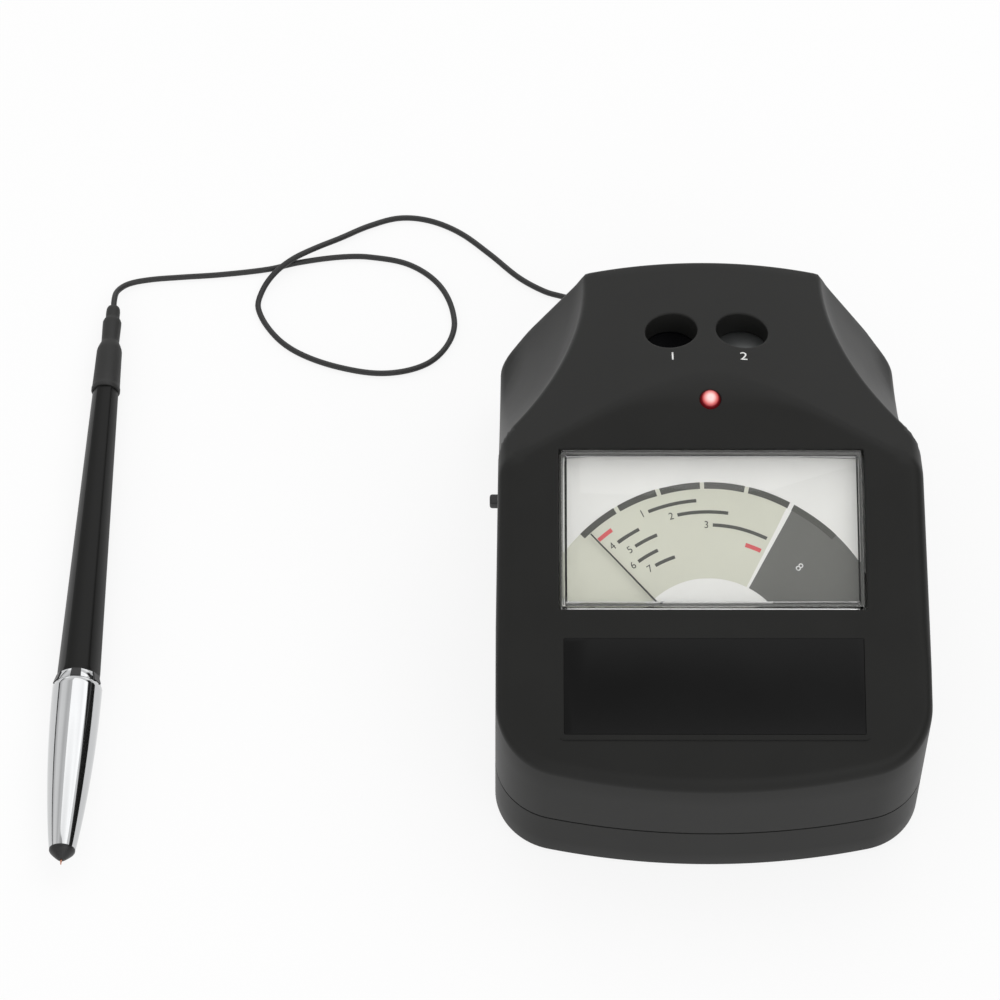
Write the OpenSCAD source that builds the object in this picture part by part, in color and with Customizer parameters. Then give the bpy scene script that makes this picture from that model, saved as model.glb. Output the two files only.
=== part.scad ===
// Counter-top thermal gemstone tester with a meter window and a pen probe on a cord.
// Origin: centre of the housing's base, on the plane of the feet. +Z is up, the front faces -Y.

/* [Housing] */
// Width of the housing across its side walls
body_w = 114; // [112:1:122]
// Length of the housing from front wall to rear wall
body_l = 154; // [152:1:162]
// Thickness of the housing's walls
wall = 2.4; // [1.8:0.1:2.8]
// Thickness of the tray's floor
floor_t = 2.4; // [2.2:0.1:3]
// Radius of the bow of the front wall, seen from above
front_bow_r = 200; // [180:5:260]
// Radius of the two front corners
front_corner_r = 18; // [14:1:22]
// Radius of the two rear corners
rear_corner_r = 8; // [5:0.5:9]
// Height of the parting line above the table
seam_z = 19; // [18.5:0.5:21]
// Height of the sloping panel at the front wall
panel_front_z = 43.7; // [42:0.5:50]
// Slope of the panel, in degrees
panel_tilt = 18; // [16:0.5:20]
// Run of the rear hump, from the crest to the rear wall
hump_run = 50.6; // [48:0.5:52]
// Fall of the rear hump towards the back, in degrees
hump_fall = 14.3; // [12:0.1:15]
// Radius of the hump's crown across its width
crown_r = 108; // [100:1:130]
// Height of the rubber feet below the tray
foot_h = 1.5; // [1:0.1:3]
// Diameter of a rubber foot
foot_d = 10; // [8:0.5:11]
// Depth of the pocket that a foot sits in
foot_pocket = 0.8; // [0.5:0.1:1.2]

/* [Rear scoops] */
// Depth of a scoop's steep top, in from the side wall
scoop_depth = 26.6; // [24:0.2:28]
// Distance of a scoop's axis behind the rear wall
scoop_back = 4.5; // [3:0.5:8]
// Radius of a scoop at its steep top
scoop_r = 96.6; // [90:0.2:110]
// Height at which a scoop's side turns upright
scoop_top_z = 72; // [70:0.5:74]
// Radius of the hollow curve in a scoop's side
scoop_curve_r = 37; // [32:1:42]
// Lean of a scoop's lower side from upright, in degrees
scoop_lean = 30.5; // [28:0.5:32]

/* [Meter] */
// Distance from the meter's window to the housing's side wall
win_side = 17; // [16:0.5:20]
// Distance from the window to the crest, along the slope
win_crest_gap = 18.37; // [17:0.1:20]
// Distance from the window to the gloss plate, along the slope
win_plate_gap = 7.9; // [6:0.1:10]
// Share of the free slope that the window takes; the gloss plate takes the rest
win_share = 0.626; // [0.58:0.002:0.66]
// Distance of the needle's pivot below the window's centre
pivot_drop = 33.4; // [32:0.2:35]
// Height of the clear cover above the panel
cover_proud = 0.6; // [0.3:0.1:1]
// Length of the needle from pivot to tip
needle_l = 44.4; // [40:0.2:46]
// Angle of the needle at rest, left of the panel's up direction
needle_rest = 43.4; // [40:0.2:45]
// Depth of the dial card below the panel
dial_depth = 6; // [5.5:0.1:7]
// Depth of the meter case below the panel
case_depth = 22; // [22:0.5:25]

/* [Panel details] */
// Distance from the gloss plate to the housing's side wall
plate_side = 17.8; // [15:0.2:22]
// Thickness of the gloss plate
plate_t = 0.6; // [0.5:0.1:1]
// Distance from the panel's front edge to the gloss plate, along the slope
plate_low = 14.25; // [12:0.25:16]
// Diameter of the ready lamp
led_d = 5.5; // [4:0.5:6]
// Distance of the lamp's centre in front of the crest, along the slope
led_before_crest = 3.6; // [3.6:0.1:6]

/* [Test wells] */
// Diameter of a test well
well_d = 14; // [12:0.5:15]
// Depth of a test well
well_depth = 7; // [6:0.5:9]
// Distance between the two wells' centres
well_pitch = 19.1; // [18.5:0.1:24]
// Distance of the wells behind the crest, along the hump
well_at = 23.3; // [20:0.1:26]
// Thickness of a reference disc
disc_t = 2; // [1.5:0.1:3]

/* [Switch] */
// Travel of the switch's knob
switch_travel = 4; // [2:0.5:5]
// Length of the knob along the wall
knob_l = 3.2; // [2.5:0.1:4]
// Height of the knob
knob_h = 2.6; // [2:0.1:2.8]
// Reach of the knob outside the wall
knob_proud = 2; // [1:0.1:3]
// Position of the knob along the side wall
knob_y = 26; // [22:0.5:27]

/* [Base and board] */
// Diameter of a round cell
cell_d = 10.2; // [9.8:0.1:10.4]
// Length of a round cell's can
cell_l = 43.5; // [42:0.1:44]
// Thickness of the circuit board
board_t = 1.6; // [1:0.1:2]
// Distance from the circuit board's edge to the outside of the side wall
board_side = 7; // [7:0.5:11]
// Length of the circuit board
board_l = 58; // [54:1:58]
// Distance of the cord's gland and of the inlet from the middle of the rear wall
inlet_x = 28; // [26:0.5:32]

/* [Pen probe] */
// Place of the pen's tip, left of the housing's middle
pen_x = 172.4; // [165:0.2:180]
// Place of the pen's tip in front of the housing's middle
pen_y = 80.5; // [70:0.5:90]
// Turn of the pen from straight, in degrees
pen_turn = 1.15; // [0:0.05:3]
// Largest diameter of the chrome nose
nose_d = 13.6; // [13:0.1:14.4]
// Length from the tip to the wide end of the chrome nose
nose_l = 55; // [53:0.5:58]
// Diameter of the black end of the nose
collar_d = 7; // [6.6:0.1:7.4]
// Reach of the probe tip outside its collar
tip_reach = 1.4; // [1.4:0.1:2.2]
// Travel of the probe tip into the pen
tip_travel = 1.2; // [0.6:0.1:1.2]
// Width of the barrel across its corners at the nose
barrel_d1 = 12.5; // [12:0.1:13]
// Width of the barrel across its corners at the boot
barrel_d2 = 7.8; // [7:0.1:8.2]
// Length of the barrel
barrel_l = 97; // [90:1:100]
// Number of flat sides on the barrel
barrel_sides = 6; // [6, 8, 10]
// Diameter of the boot's thick part
boot_d = 8.4; // [8:0.1:9]
// Diameter of the probe cord
cord_d = 1.7; // [1.5:0.1:1.8]

/* [Clearances] */
// Gap around pieces that seat in an opening
seat_gap = 0.15; // [0.1:0.05:0.2]
// Gap between faces that touch
face_gap = 0.05; // [0.02:0.01:0.1]
// Gap on each side of a sliding piece
slide_gap = 0.2; // [0.15:0.05:0.3]
// Radial gap of a shaft in its bearing
run_gap = 0.05; // [0.03:0.01:0.08]

/* [Hidden] */
// Distance of a scoop's upright axis outside the side wall
scoop_out = scoop_r - scoop_depth;
$fn = 64;

// Main places of the housing
half_w = body_w / 2;
win_w = body_w - 2 * win_side;
plate_w = body_w - 2 * plate_side;
board_w = body_w - 2 * board_side;
front_y = -body_l / 2;
rear_y = body_l / 2;
base_z = foot_h;
floor_z = base_z + floor_t;
crest_y = rear_y - hump_run;
panel_run = (crest_y - front_y) / cos(panel_tilt);
crest_z = panel_front_z + panel_run * sin(panel_tilt);
free_slope = panel_run - plate_low - win_plate_gap - win_crest_gap;
win_h = win_share * free_slope;
win_at = panel_run - win_crest_gap - win_h / 2;
plate_h = free_slope - win_h;
plate_at = plate_low + plate_h / 2;
bow_y = front_y + front_bow_r;
corner_x = half_w - front_corner_r;
corner_y = bow_y - sqrt(pow(front_bow_r - front_corner_r, 2) - corner_x * corner_x);
// A block this big reaches past the housing on every side
far = 4 * body_l;
// Neighbouring curves cross by this much, so that no hairline step is left between them
cross_by = 0.02;

// Tongue of the tray inside the top shell
lip_t = 1.2;
lip_h = 1;
// Flat ledge at the foot of each scoop, above the parting line
ledge_z = seam_z + wall + slide_gap;

// Screws of the housing and their posts
screw_d = 2.9;
screw_head_d = 5.6;
screw_head_h = 2.2;
post_d = 8;
screw_l = 20;
screw_in = 8.5;
screw_sink = 4.5;
screw_seat_z = base_z + screw_sink;
screw_pilot = 2;
front_screw_in = 33;
rear_screw_in = 21;
front_screw_y = front_y + front_screw_in;
rear_screw_y = rear_y - rear_screw_in;
foot_in_x = 14;
front_foot_in = 17;
rear_foot_in = 11;
front_foot_y = front_y + front_foot_in;
rear_foot_y = rear_y - rear_foot_in;

// Small screws inside
small_screw_d = 2.2;
small_head_d = 4.4;
small_head_h = 1.4;
small_screw_l = 6;
small_post_d = 5.6;

// Levels of the meter, as depths below the panel
cover_flange = 2;
flange_t = 1;
flange_top = wall + slide_gap + face_gap;
flange_end = flange_top + flange_t;
needle_t = 0.4;
needle_lift = 1.1;
needle_depth = dial_depth - needle_lift;
dial_t = 0.6;
case_wall = 1.5;
case_rim = 1.5;
case_top_rim = 2.6;
case_in_w = win_w + 2 * case_rim;
case_in_top = win_h / 2 + case_top_rim;
case_floor_t = 1.6;
case_floor = case_depth - case_floor_t;
rail_w = 2;
ear_t = 2;
ear_l = 7;
ear_depth = 6;
ear_low = win_at - (front_screw_in + post_d / 2 + ear_l / 2 + slide_gap) / cos(panel_tilt);
ear_high = 17;

// Movement of the meter around its pivot
ring_r = 13;
ring_side = 1;
case_in_low = pivot_drop + ring_r + ring_side;
ring_bore_r = 9.5;
core_r = 6;
coil_in_r = 7;
coil_out_r = 8.5;
coil_w = 3;
coil_bar = 0.8;
ring_drop = 1.4;
ring_top = dial_depth + dial_t + ring_drop;
ring_h = 8.5;
core_in = 0.5;
core_top = ring_top + core_in;
core_h = ring_h - 2 * core_in;
coil_play = 1.5;
coil_top = core_top - coil_play;
coil_end = core_top + core_h + coil_play;
shaft_r = 0.75;
jewel_r = 1.8;
bridge_t = 1;
bridge_top = flange_top;
bridge_w = 5;
jewel_front_end = bridge_top + bridge_t + slide_gap;
jewel_bore = 0.9;
jewel_back_r = 2.2;
jewel_back_gap = 1;
jewel_back_top = coil_end + jewel_back_gap;
bridge_post_r = 1.4;
bridge_post_x = (ring_r + ring_bore_r) / 2;
web_w = 4;

// Height of the gloss plate above the panel
plate_proud = 0.1;

// Lamp and its holder
led_at = panel_run - led_before_crest;
led_dome_out = 1.6;
led_rim = 0.4;
led_len = 6;
led_holder_d = led_d + 4;
led_holder_l = 3;
led_lead_r = 0.25;
led_lead_l = 12;

// Reference discs
disc_d = well_d + 2;
disc_top = well_depth;
carrier_top = disc_top + disc_t + face_gap;
carrier_t = 2;
carrier_side = 8.5;
carrier_screw_in = 4;
carrier_w = well_pitch + well_d + 2 * carrier_side;
carrier_l = disc_d + 2 * wall;
carrier_screw_x = carrier_w / 2 - carrier_screw_in;

// Cells, their compartment and the sliding cover
cell_pitch = cell_d + 0.7;
cell_nub_r = 2.75;
cell_nub_l = 1;
bay_in_x = 1.5 * cell_pitch + 0.6;
bay_wall = 1.5;
bay_rear = rear_y - wall;
contact_t = 0.4;
contact_dimple = 1.2;
contact_play = 0.1;
bay_l = cell_l + cell_nub_l + 2 * (contact_t + contact_dimple + contact_play + face_gap);
bay_front = bay_rear - bay_l;
cell_z = floor_z + cell_d / 2 + slide_gap;
bay_roof = cell_z + cell_d / 2 + slide_gap;
cell_start = bay_front + face_gap + contact_t + contact_dimple + contact_play;
tongue_w = 1.5;
tongue_t = 0.8;
tongue_z = base_z + 0.8;
grip_l = 14;
grip_count = 4;

// Board and switch
board_front = knob_y + 12 - board_l;
board_post_x = board_w / 2 - 10;
board_post_in = 6;
chip_l = 18;
chip_w = 7;
chip_h = 3;
can_d = 8;
can_h = 11;
trimmer_w = 7;
trimmer_h = 5;
switch_h = 6;
knob_z = seam_z + lip_h + 2 * slide_gap + knob_h / 2;
board_z = knob_z - switch_h / 2 - board_t;
switch_l = 12;
switch_back = 7;
switch_out_x = half_w - wall - lip_t - 2 * slide_gap;
carriage_l = knob_l + 1.6;
carriage_t = 3;

// Gland, inlet and cord
inlet_z = base_z + 9.5;
gland_neck_r = 3;
gland_flange_r = 4.2;
gland_flange_t = 2;
gland_l = 14;
socket_r = 4.2;
socket_bore_r = 2.75;
socket_bore_l = 9;
socket_pin_r = 0.95;
socket_w = 10;
socket_l = 11;
gland_tip = [-inlet_x, rear_y + gland_l, inlet_z];

// Pen probe, measured along its axis from the tip
collar_l = 3.7;
collar_lap = 0.6;
tip_play = 0.5;
tip_point_l = 1.2;
tip_point_r = 0.12;
spring_l = 18;
spigot_r = 2.6;
spigot_l = 4;
needle_r = 0.3;
flange_r = 2.2;
flange_at = tip_reach + collar_l + spigot_l + tip_play;
flange_l = 2;
nose_at = tip_reach + collar_l - collar_lap;
nose_bore_r = spigot_r + run_gap;
spring_end = flange_at + flange_l + spring_l;
guide_l = 6;
ring_l = 3;
ring_at = nose_l + face_gap;
barrel_at = ring_at + ring_l + face_gap;
insert_r = 4.5;
insert_bore_r = 3;
insert_in = 13;
wire_bore_r = 1.6;
boot_at = barrel_at + barrel_l + face_gap;
boot_l = 31;
boot_thick_l = 12.5;
boot_neck_r = 2.85;
boot_end_r = 2.05;
pen_l = boot_at + boot_l;
// The nose's wide end and the boot's thick part both touch the table
rest_l = boot_at + boot_thick_l - nose_l;
pen_tilt = atan((nose_d - boot_d) / 2 / rest_l);
pen_z = nose_l * sin(pen_tilt) + nose_d / 2 * cos(pen_tilt);
pen_dir = [sin(pen_turn) * cos(pen_tilt), cos(pen_turn) * cos(pen_tilt), -sin(pen_tilt)];
pen_tip = [-pen_x, -pen_y, pen_z];
pen_end = pen_tip + pen_l * pen_dir;

// Route of the cord on the table, from the gland's side to the pen, with one low hump at the crossing
cord_ring_gap = 5;
cord_sides = 8;
cord_points = concat(
    [gland_tip, gland_tip + [0, 6, 0]],
    [[-29.5, 103, 8], [-33, 108.5, 3.5], [-37.5, 111.5, 1.2], [-42.5, 113.5, 0.9],
     [-50, 118.5, 0.9], [-58.5, 127, 0.9], [-67.5, 135, 0.9], [-76.5, 139.5, 0.9],
     [-85.5, 140.5, 0.9], [-94.5, 137.5, 1], [-103, 132.5, 1.6], [-111, 127.5, 2.8],
     [-117, 123.5, 3.1], [-122, 119, 2.4], [-125.5, 113.5, 1.2], [-126.5, 107, 0.9],
     [-121.5, 97.5, 0.9], [-114, 91, 0.9], [-102, 86, 0.9], [-89, 84, 0.9],
     [-77.5, 87, 0.9], [-71, 94, 0.9], [-69, 103, 0.9], [-73, 115, 0.9],
     [-82, 123, 0.9], [-94, 126, 0.9], [-103, 126, 0.9], [-115, 124, 0.9],
     [-124, 121.5, 0.9], [-138, 119.5, 0.9], [-150, 118.5, 0.9], [-159, 117.5, 1],
     [-165, 115.5, 1.6], [-168, 112, 2.8]],
    [pen_end + 3 * pen_dir, pen_end]);

function unit(v) = v / norm(v);

// Direction of a route at one of its points
function route_dir(p, i) = unit(p[min(i + 1, len(p) - 1)] - p[max(i - 1, 0)]);

// Point on the smooth curve from route point i to the next one
function route_point(p, i, t) =
    let (reach = norm(p[i + 1] - p[i]))
    (2 * t * t * t - 3 * t * t + 1) * p[i] + (t * t * t - 2 * t * t + t) * reach * route_dir(p, i)
    + (3 * t * t - 2 * t * t * t) * p[i + 1] + (t * t * t - t * t) * reach * route_dir(p, i + 1);

// All ring centres of a route
function route_rings(p) = concat(
    [for (i = [0 : len(p) - 2])
        let (steps = max(1, round(norm(p[i + 1] - p[i]) / cord_ring_gap)))
        for (k = [0 : steps - 1]) route_point(p, i, k / steps)],
    [p[len(p) - 1]]);

// Corners of one ring around a route's ring centre
function ring_corners(c, i, r, sides) =
    let (dir = i == 0 ? unit(cord_points[1] - cord_points[0])
            : i == len(c) - 1 ? -pen_dir : unit(c[i + 1] - c[i - 1]))
    let (side = unit(cross(dir, [0, 0, 1])))
    let (up = cross(side, dir))
    [for (k = [0 : sides - 1])
        c[i] + r * cos((k + 0.5) * 360 / sides) * side + r * sin((k + 0.5) * 360 / sides) * up];

// Closed tube of triangles along ring centres
module swept_tube(c, r, sides) {
    last = (len(c) - 1) * sides;
    polyhedron(
        points = [for (i = [0 : len(c) - 1]) each ring_corners(c, i, r, sides)],
        faces = concat(
            [for (i = [0 : len(c) - 2]) for (k = [0 : sides - 1])
                [i * sides + k, i * sides + (k + 1) % sides, (i + 1) * sides + k]],
            [for (i = [0 : len(c) - 2]) for (k = [0 : sides - 1])
                [i * sides + (k + 1) % sides, (i + 1) * sides + (k + 1) % sides, (i + 1) * sides + k]],
            [for (k = [1 : sides - 2]) [0, k + 1, k]],
            [for (k = [1 : sides - 2]) [last, last + k, last + k + 1]]));
}

// Frame on the panel: X across, Y up the slope, Z out of the panel, at a distance from the front edge
module on_panel(at) {
    translate([0, front_y + at * cos(panel_tilt), panel_front_z + at * sin(panel_tilt)])
        rotate([panel_tilt, 0, 0]) children();
}

// Frame of the meter: origin at the window's centre
module on_meter() {
    on_panel(win_at) children();
}

// Frame of the needle's pivot
module on_pivot() {
    on_meter() translate([0, -pivot_drop, 0]) children();
}

// Frame on the hump, at a distance behind the crest
module on_hump(at) {
    translate([0, crest_y + at * cos(hump_fall), crest_z - at * sin(hump_fall)])
        rotate([-hump_fall, 0, 0]) children();
}

// Frame of the pen: Z runs from the tip to the boot
module at_pen() {
    translate(pen_tip) rotate([0, 0, -pen_turn]) rotate([-90 - pen_tilt, 0, 0]) children();
}

// Both sides of the housing
module both_sides() {
    children();
    mirror([1, 0, 0]) children();
}

// Outline of the housing seen from above, drawn in by an inset
module plan(inset) {
    bow = front_bow_r - inset;
    touch_x = bow * corner_x / (front_bow_r - front_corner_r);
    turn = rear_corner_r - inset;
    intersection() {
        translate([0, bow_y]) circle(bow, $fn = 180);
        translate([-touch_x, front_y]) square([2 * touch_x, body_l - inset]);
    }
    both_sides() translate([corner_x, corner_y]) circle(front_corner_r - inset + cross_by);
    translate([-half_w + inset, corner_y])
        square([body_w - 2 * inset, rear_y - rear_corner_r - corner_y]);
    both_sides() translate([half_w - rear_corner_r, rear_y - rear_corner_r]) circle(turn);
    translate([-half_w + rear_corner_r, 0]) square([body_w - 2 * rear_corner_r, rear_y - inset]);
}

// Section of a scoop: everything nearer its axis than its hollow side
module scoop_section(inset) {
    curve = scoop_curve_r + inset;
    middle = scoop_r - scoop_curve_r;
    low_z = ledge_z - inset;
    line_z = scoop_top_z - (curve - cross_by) * sin(scoop_lean);
    line_r = middle + (curve - cross_by) * cos(scoop_lean);
    arc_z = line_z - curve / 8;
    low_r = line_r - (line_z - low_z) * tan(scoop_lean);
    translate([0, scoop_top_z]) square([scoop_r + inset, body_l]);
    translate([0, low_z]) square([middle, scoop_top_z - low_z]);
    intersection() {
        translate([middle, scoop_top_z]) circle(curve);
        translate([middle, arc_z]) square([curve, scoop_top_z - arc_z]);
    }
    polygon([[0, low_z], [low_r, low_z], [line_r, line_z], [0, line_z]]);
}

// Both scoops, grown into the housing by an inset
module scoops(inset) {
    both_sides() translate([half_w + scoop_out, rear_y + scoop_back, 0])
        rotate_extrude($fn = 180) scoop_section(inset);
}

// Everything under the hump's crown, drawn in by an inset
module crown(inset) {
    on_hump(0) translate([0, 0, -crown_r]) rotate([90, 0, 0])
        cylinder(r = crown_r - inset, h = far, center = true, $fn = 180);
}

// Solid form of the housing above a level, drawn in by an inset
module body_form(inset, from_z) {
    difference() {
        intersection() {
            translate([0, 0, from_z]) linear_extrude(crest_z) plan(inset);
            on_panel(0) translate([-body_w, -body_l, -far - inset]) cube([2 * body_w, far, far]);
            crown(inset);
        }
        scoops(inset);
    }
}

// Places of the housing's screws and feet
module at_screws() {
    both_sides() for (y = [front_screw_y, rear_screw_y]) translate([half_w - screw_in, y, 0]) children();
}

module at_feet() {
    both_sides() for (y = [front_foot_y, rear_foot_y]) translate([half_w - foot_in_x, y, base_z]) children();
}

// Places of the meter's ears, in the panel's frame
module at_ears() {
    both_sides() for (v = [-ear_low, ear_high])
        translate([case_in_w / 2 + case_wall + ear_l / 2, v, -ear_depth]) children();
}

// Places of the disc carrier's screws, in the hump's frame
module at_carrier_screws() {
    on_hump(well_at) both_sides() translate([carrier_screw_x, 0, -carrier_top]) children();
}

// Places of the board's screws
module at_board_screws() {
    both_sides() for (y = [board_front + board_post_in, board_front + board_l - board_post_in])
        translate([board_post_x, y, board_z]) children();
}

// Screw whose head lies below its seat at Z = 0, with its shank upwards
module screw(d, head_d, head_h, l) {
    slot_w = head_d / 6;
    difference() {
        union() {
            translate([0, 0, -head_h]) cylinder(d = head_d, h = head_h);
            cylinder(d = d, h = l);
        }
        for (turn = [0, 90]) rotate(turn)
            translate([-head_d / 3, -slot_w / 2, -head_h - 1]) cube([head_d / 1.5, slot_w, 1 + head_h / 2]);
    }
}

// Rectangle in the middle of the panel's frame, from one depth to a deeper one
module block(w, h, top, end) {
    translate([-w / 2, -h / 2, -end]) cube([w, h, end - top]);
}

// Upper housing with its panel, hump, scoops, bosses and wells
module top_shell() {
    color("#232424") difference() {
        union() {
            difference() {
                body_form(0, seam_z);
                body_form(wall, seam_z - 1);
            }
            intersection() {
                body_form(wall / 2, seam_z + face_gap);
                union() {
                    at_screws() translate([0, 0, seam_z + face_gap]) cylinder(d = post_d, h = crest_z);
                    on_meter() at_ears() translate([0, 0, face_gap])
                        cylinder(d = small_post_d, h = ear_depth);
                    on_hump(well_at) both_sides() translate([well_pitch / 2, 0, -disc_top - disc_t])
                        cylinder(d = disc_d + 2 * wall, h = far);
                    at_carrier_screws() translate([0, 0, face_gap])
                        cylinder(d = small_post_d, h = carrier_top);
                }
            }
        }
        on_meter() block(win_w, win_h, -far, 2 * wall);
        on_panel(plate_at)
            block(plate_w + 2 * seat_gap, plate_h + 2 * seat_gap, -wall, plate_t - plate_proud);
        on_panel(led_at) translate([0, 0, -2 * wall]) cylinder(d = led_d + 2 * seat_gap, h = far);
        on_hump(well_at) both_sides() translate([well_pitch / 2, 0, 0]) {
            translate([0, 0, -disc_top - 1]) cylinder(d = well_d, h = far);
            translate([0, 0, -disc_top - 2 * disc_t]) cylinder(d = disc_d + 2 * seat_gap, h = 2 * disc_t);
        }
        at_screws() cylinder(d = screw_d + 2 * run_gap, h = screw_seat_z + screw_l + screw_pilot);
        on_meter() at_ears() translate([0, 0, -1])
            cylinder(d = small_screw_d + 2 * run_gap, h = small_screw_l - ear_t);
        at_carrier_screws() translate([0, 0, -1])
            cylinder(d = small_screw_d + 2 * run_gap, h = small_screw_l - carrier_t + 1);
        translate([-half_w - 1, knob_y - knob_l / 2 - slide_gap, knob_z - knob_h / 2 - slide_gap])
            cube([2 * wall + 1, knob_l + switch_travel + 2 * slide_gap, knob_h + 2 * slide_gap]);
    }
}

// Lower tray with its tongue, posts, cell compartment and rear holes
module bottom_shell() {
    post_h = seam_z - base_z;
    color("#1f2020") difference() {
        union() {
            difference() {
                translate([0, 0, base_z]) linear_extrude(seam_z - base_z) plan(0);
                translate([0, 0, floor_z]) linear_extrude(seam_z) plan(wall);
            }
            tray_tongue();
            at_screws() translate([0, 0, base_z]) cylinder(d = post_d, h = post_h);
            at_board_screws() translate([0, 0, floor_z - board_z - 1])
                cylinder(d = small_post_d, h = board_z - floor_z + 1 - face_gap);
            cell_bay();
        }
        at_screws() {
            cylinder(d = screw_d + 2 * run_gap, h = far, center = true);
            cylinder(d = screw_head_d + 2 * slide_gap, h = screw_seat_z);
        }
        at_board_screws() translate([0, 0, -small_screw_l])
            cylinder(d = small_screw_d + 2 * run_gap, h = small_screw_l + 1);
        at_feet() translate([0, 0, -1]) cylinder(d = foot_d + 2 * seat_gap, h = 1 + foot_pocket);
        door_space();
        translate([-inlet_x, rear_y, inlet_z]) rotate([90, 0, 0])
            cylinder(r = gland_neck_r + face_gap, h = 4 * wall, center = true);
        translate([inlet_x, rear_y, inlet_z]) rotate([90, 0, 0])
            cylinder(r = socket_r + face_gap, h = 4 * wall, center = true);
    }
}

// Tongue that locates the top shell, cleared under the scoops
module tray_tongue() {
    outer = wall + seat_gap;
    difference() {
        union() {
            translate([0, 0, seam_z - 2 * lip_h]) linear_extrude(2 * lip_h) difference() {
                plan(wall - face_gap);
                plan(outer + lip_t);
            }
            translate([0, 0, seam_z - face_gap]) linear_extrude(lip_h) difference() {
                plan(outer);
                plan(outer + lip_t);
            }
        }
        scoops(wall + 2 * slide_gap);
    }
}

// Walls and roof around the three cells
module cell_bay() {
    outer_x = bay_in_x + bay_wall;
    difference() {
        translate([-outer_x, bay_front - bay_wall, floor_z - 0.5])
            cube([2 * outer_x, bay_l + bay_wall + 0.5, bay_roof + bay_wall - floor_z + 0.5]);
        translate([-bay_in_x, bay_front, floor_z - 1])
            cube([2 * bay_in_x, bay_l + 1, bay_roof - floor_z + 1]);
    }
}

// Opening and grooves that the sliding cover runs in
module door_space() {
    groove_x = bay_in_x + tongue_w;
    translate([-bay_in_x, bay_front, base_z - 1])
        cube([2 * bay_in_x, bay_l + wall + 1, floor_t + 1 + face_gap]);
    translate([-groove_x, bay_front, tongue_z - slide_gap / 2])
        cube([2 * groove_x, bay_l + wall + 1, tongue_t + slide_gap]);
}

// Sliding cover of the cells, with grip ribs
module battery_door() {
    half = bay_in_x - slide_gap;
    l = bay_l + wall - slide_gap;
    color("#1c1d1d") translate([0, bay_front + slide_gap, 0]) difference() {
        union() {
            translate([-half, 0, base_z]) cube([2 * half, l, floor_t]);
            translate([-half - tongue_w, 0, tongue_z]) cube([2 * (half + tongue_w), l - wall, tongue_t]);
        }
        for (i = [0 : grip_count - 1])
            translate([-grip_l / 2, l - 20 + 3 * i, base_z - 1]) cube([grip_l, 1.4, 1.5]);
    }
}

// Four rubber feet
module rubber_feet() {
    color("#2b2b2b") at_feet() translate([0, 0, -foot_h]) {
        cylinder(d1 = foot_d - 1, d2 = foot_d, h = foot_h / 2);
        translate([0, 0, foot_h / 2]) cylinder(d = foot_d, h = foot_h / 2 + foot_pocket - face_gap);
    }
}

// Four screws that hold the shells together
module case_screws() {
    color("#9a9a98") at_screws() translate([0, 0, screw_seat_z - face_gap])
        screw(screw_d, screw_head_d, screw_head_h, screw_l);
}

// Bare gloss plate on the panel
module nameplate() {
    color("#0b0b0c") on_panel(plate_at) block(plate_w, plate_h, -plate_proud, plate_t - plate_proud);
}

// Clear cover of the meter: a block through the panel on a wider flange
module meter_window() {
    color([0.85, 0.9, 0.92, 0.35]) {
        on_meter() block(win_w - 2 * seat_gap, win_h - 2 * seat_gap, -cover_proud, flange_end);
        intersection() {
            crown(wall + slide_gap);
            on_meter() block(win_w + 2 * cover_flange, win_h + 2 * cover_flange, flange_top, flange_end);
        }
    }
}

// Box that holds the dial and the movement
module meter_case() {
    top = flange_end + face_gap;
    in_l = case_in_top + case_in_low;
    mid = (case_in_top - case_in_low) / 2;
    color("#161616") intersection() {
        crown(wall + slide_gap);
        on_meter() difference() {
            union() {
                translate([0, mid, 0])
                    block(case_in_w + 2 * case_wall, in_l + 2 * case_wall, top, case_depth);
                at_ears() translate([-ear_l / 2 - 0.5, -ear_l / 2, -ear_t]) cube([ear_l + 0.5, ear_l, ear_t]);
            }
            difference() {
                translate([0, mid, 0]) block(case_in_w, in_l, 0, case_floor);
                both_sides() translate([case_in_w / 2 - rail_w / 2, 0, 0])
                    block(rail_w + face_gap, win_h + 2, dial_depth + dial_t + face_gap, case_depth);
                translate([0, -pivot_drop, -case_depth]) difference() {
                    cylinder(r = ring_r, h = case_depth - ring_top - ring_h - face_gap);
                    translate([0, 0, -1]) cylinder(r = ring_bore_r, h = case_depth);
                }
            }
            translate([0, -pivot_drop, -case_depth - 1]) cylinder(r = jewel_back_r + run_gap, h = case_depth);
            at_ears() translate([0, 0, -2 * ear_t]) cylinder(d = small_screw_d + 2 * run_gap, h = far);
        }
    }
}

// Four screws through the case's ears
module meter_screws() {
    color("#8d8d8b") on_meter() at_ears() translate([0, 0, -ear_t - face_gap])
        screw(small_screw_d, small_head_d, small_head_h, small_screw_l - 1);
}

// Printed card behind the needle
module dial_plate() {
    color("#dcdccf") on_meter()
        block(case_in_w - 2 * slide_gap, win_h + 2, dial_depth, dial_depth + dial_t);
}

// Pointer with its hub and counterweight
module meter_needle() {
    hub_r = 1.7;
    arm_w = 0.6;
    tail_l = 9;
    color("#111111") on_pivot() rotate(needle_rest) translate([0, 0, -needle_depth - needle_t / 2])
        difference() {
            union() {
                cylinder(r = hub_r, h = needle_t);
                translate([-arm_w / 2, 0, 0]) cube([arm_w, needle_l, needle_t]);
                translate([-arm_w, -tail_l, 0]) cube([2 * arm_w, tail_l, needle_t]);
                translate([0, -tail_l, 0]) cylinder(r = 2, h = needle_t);
            }
            translate([0, 0, -1]) cylinder(r = shaft_r + run_gap, h = needle_t + 2);
        }
}

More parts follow.
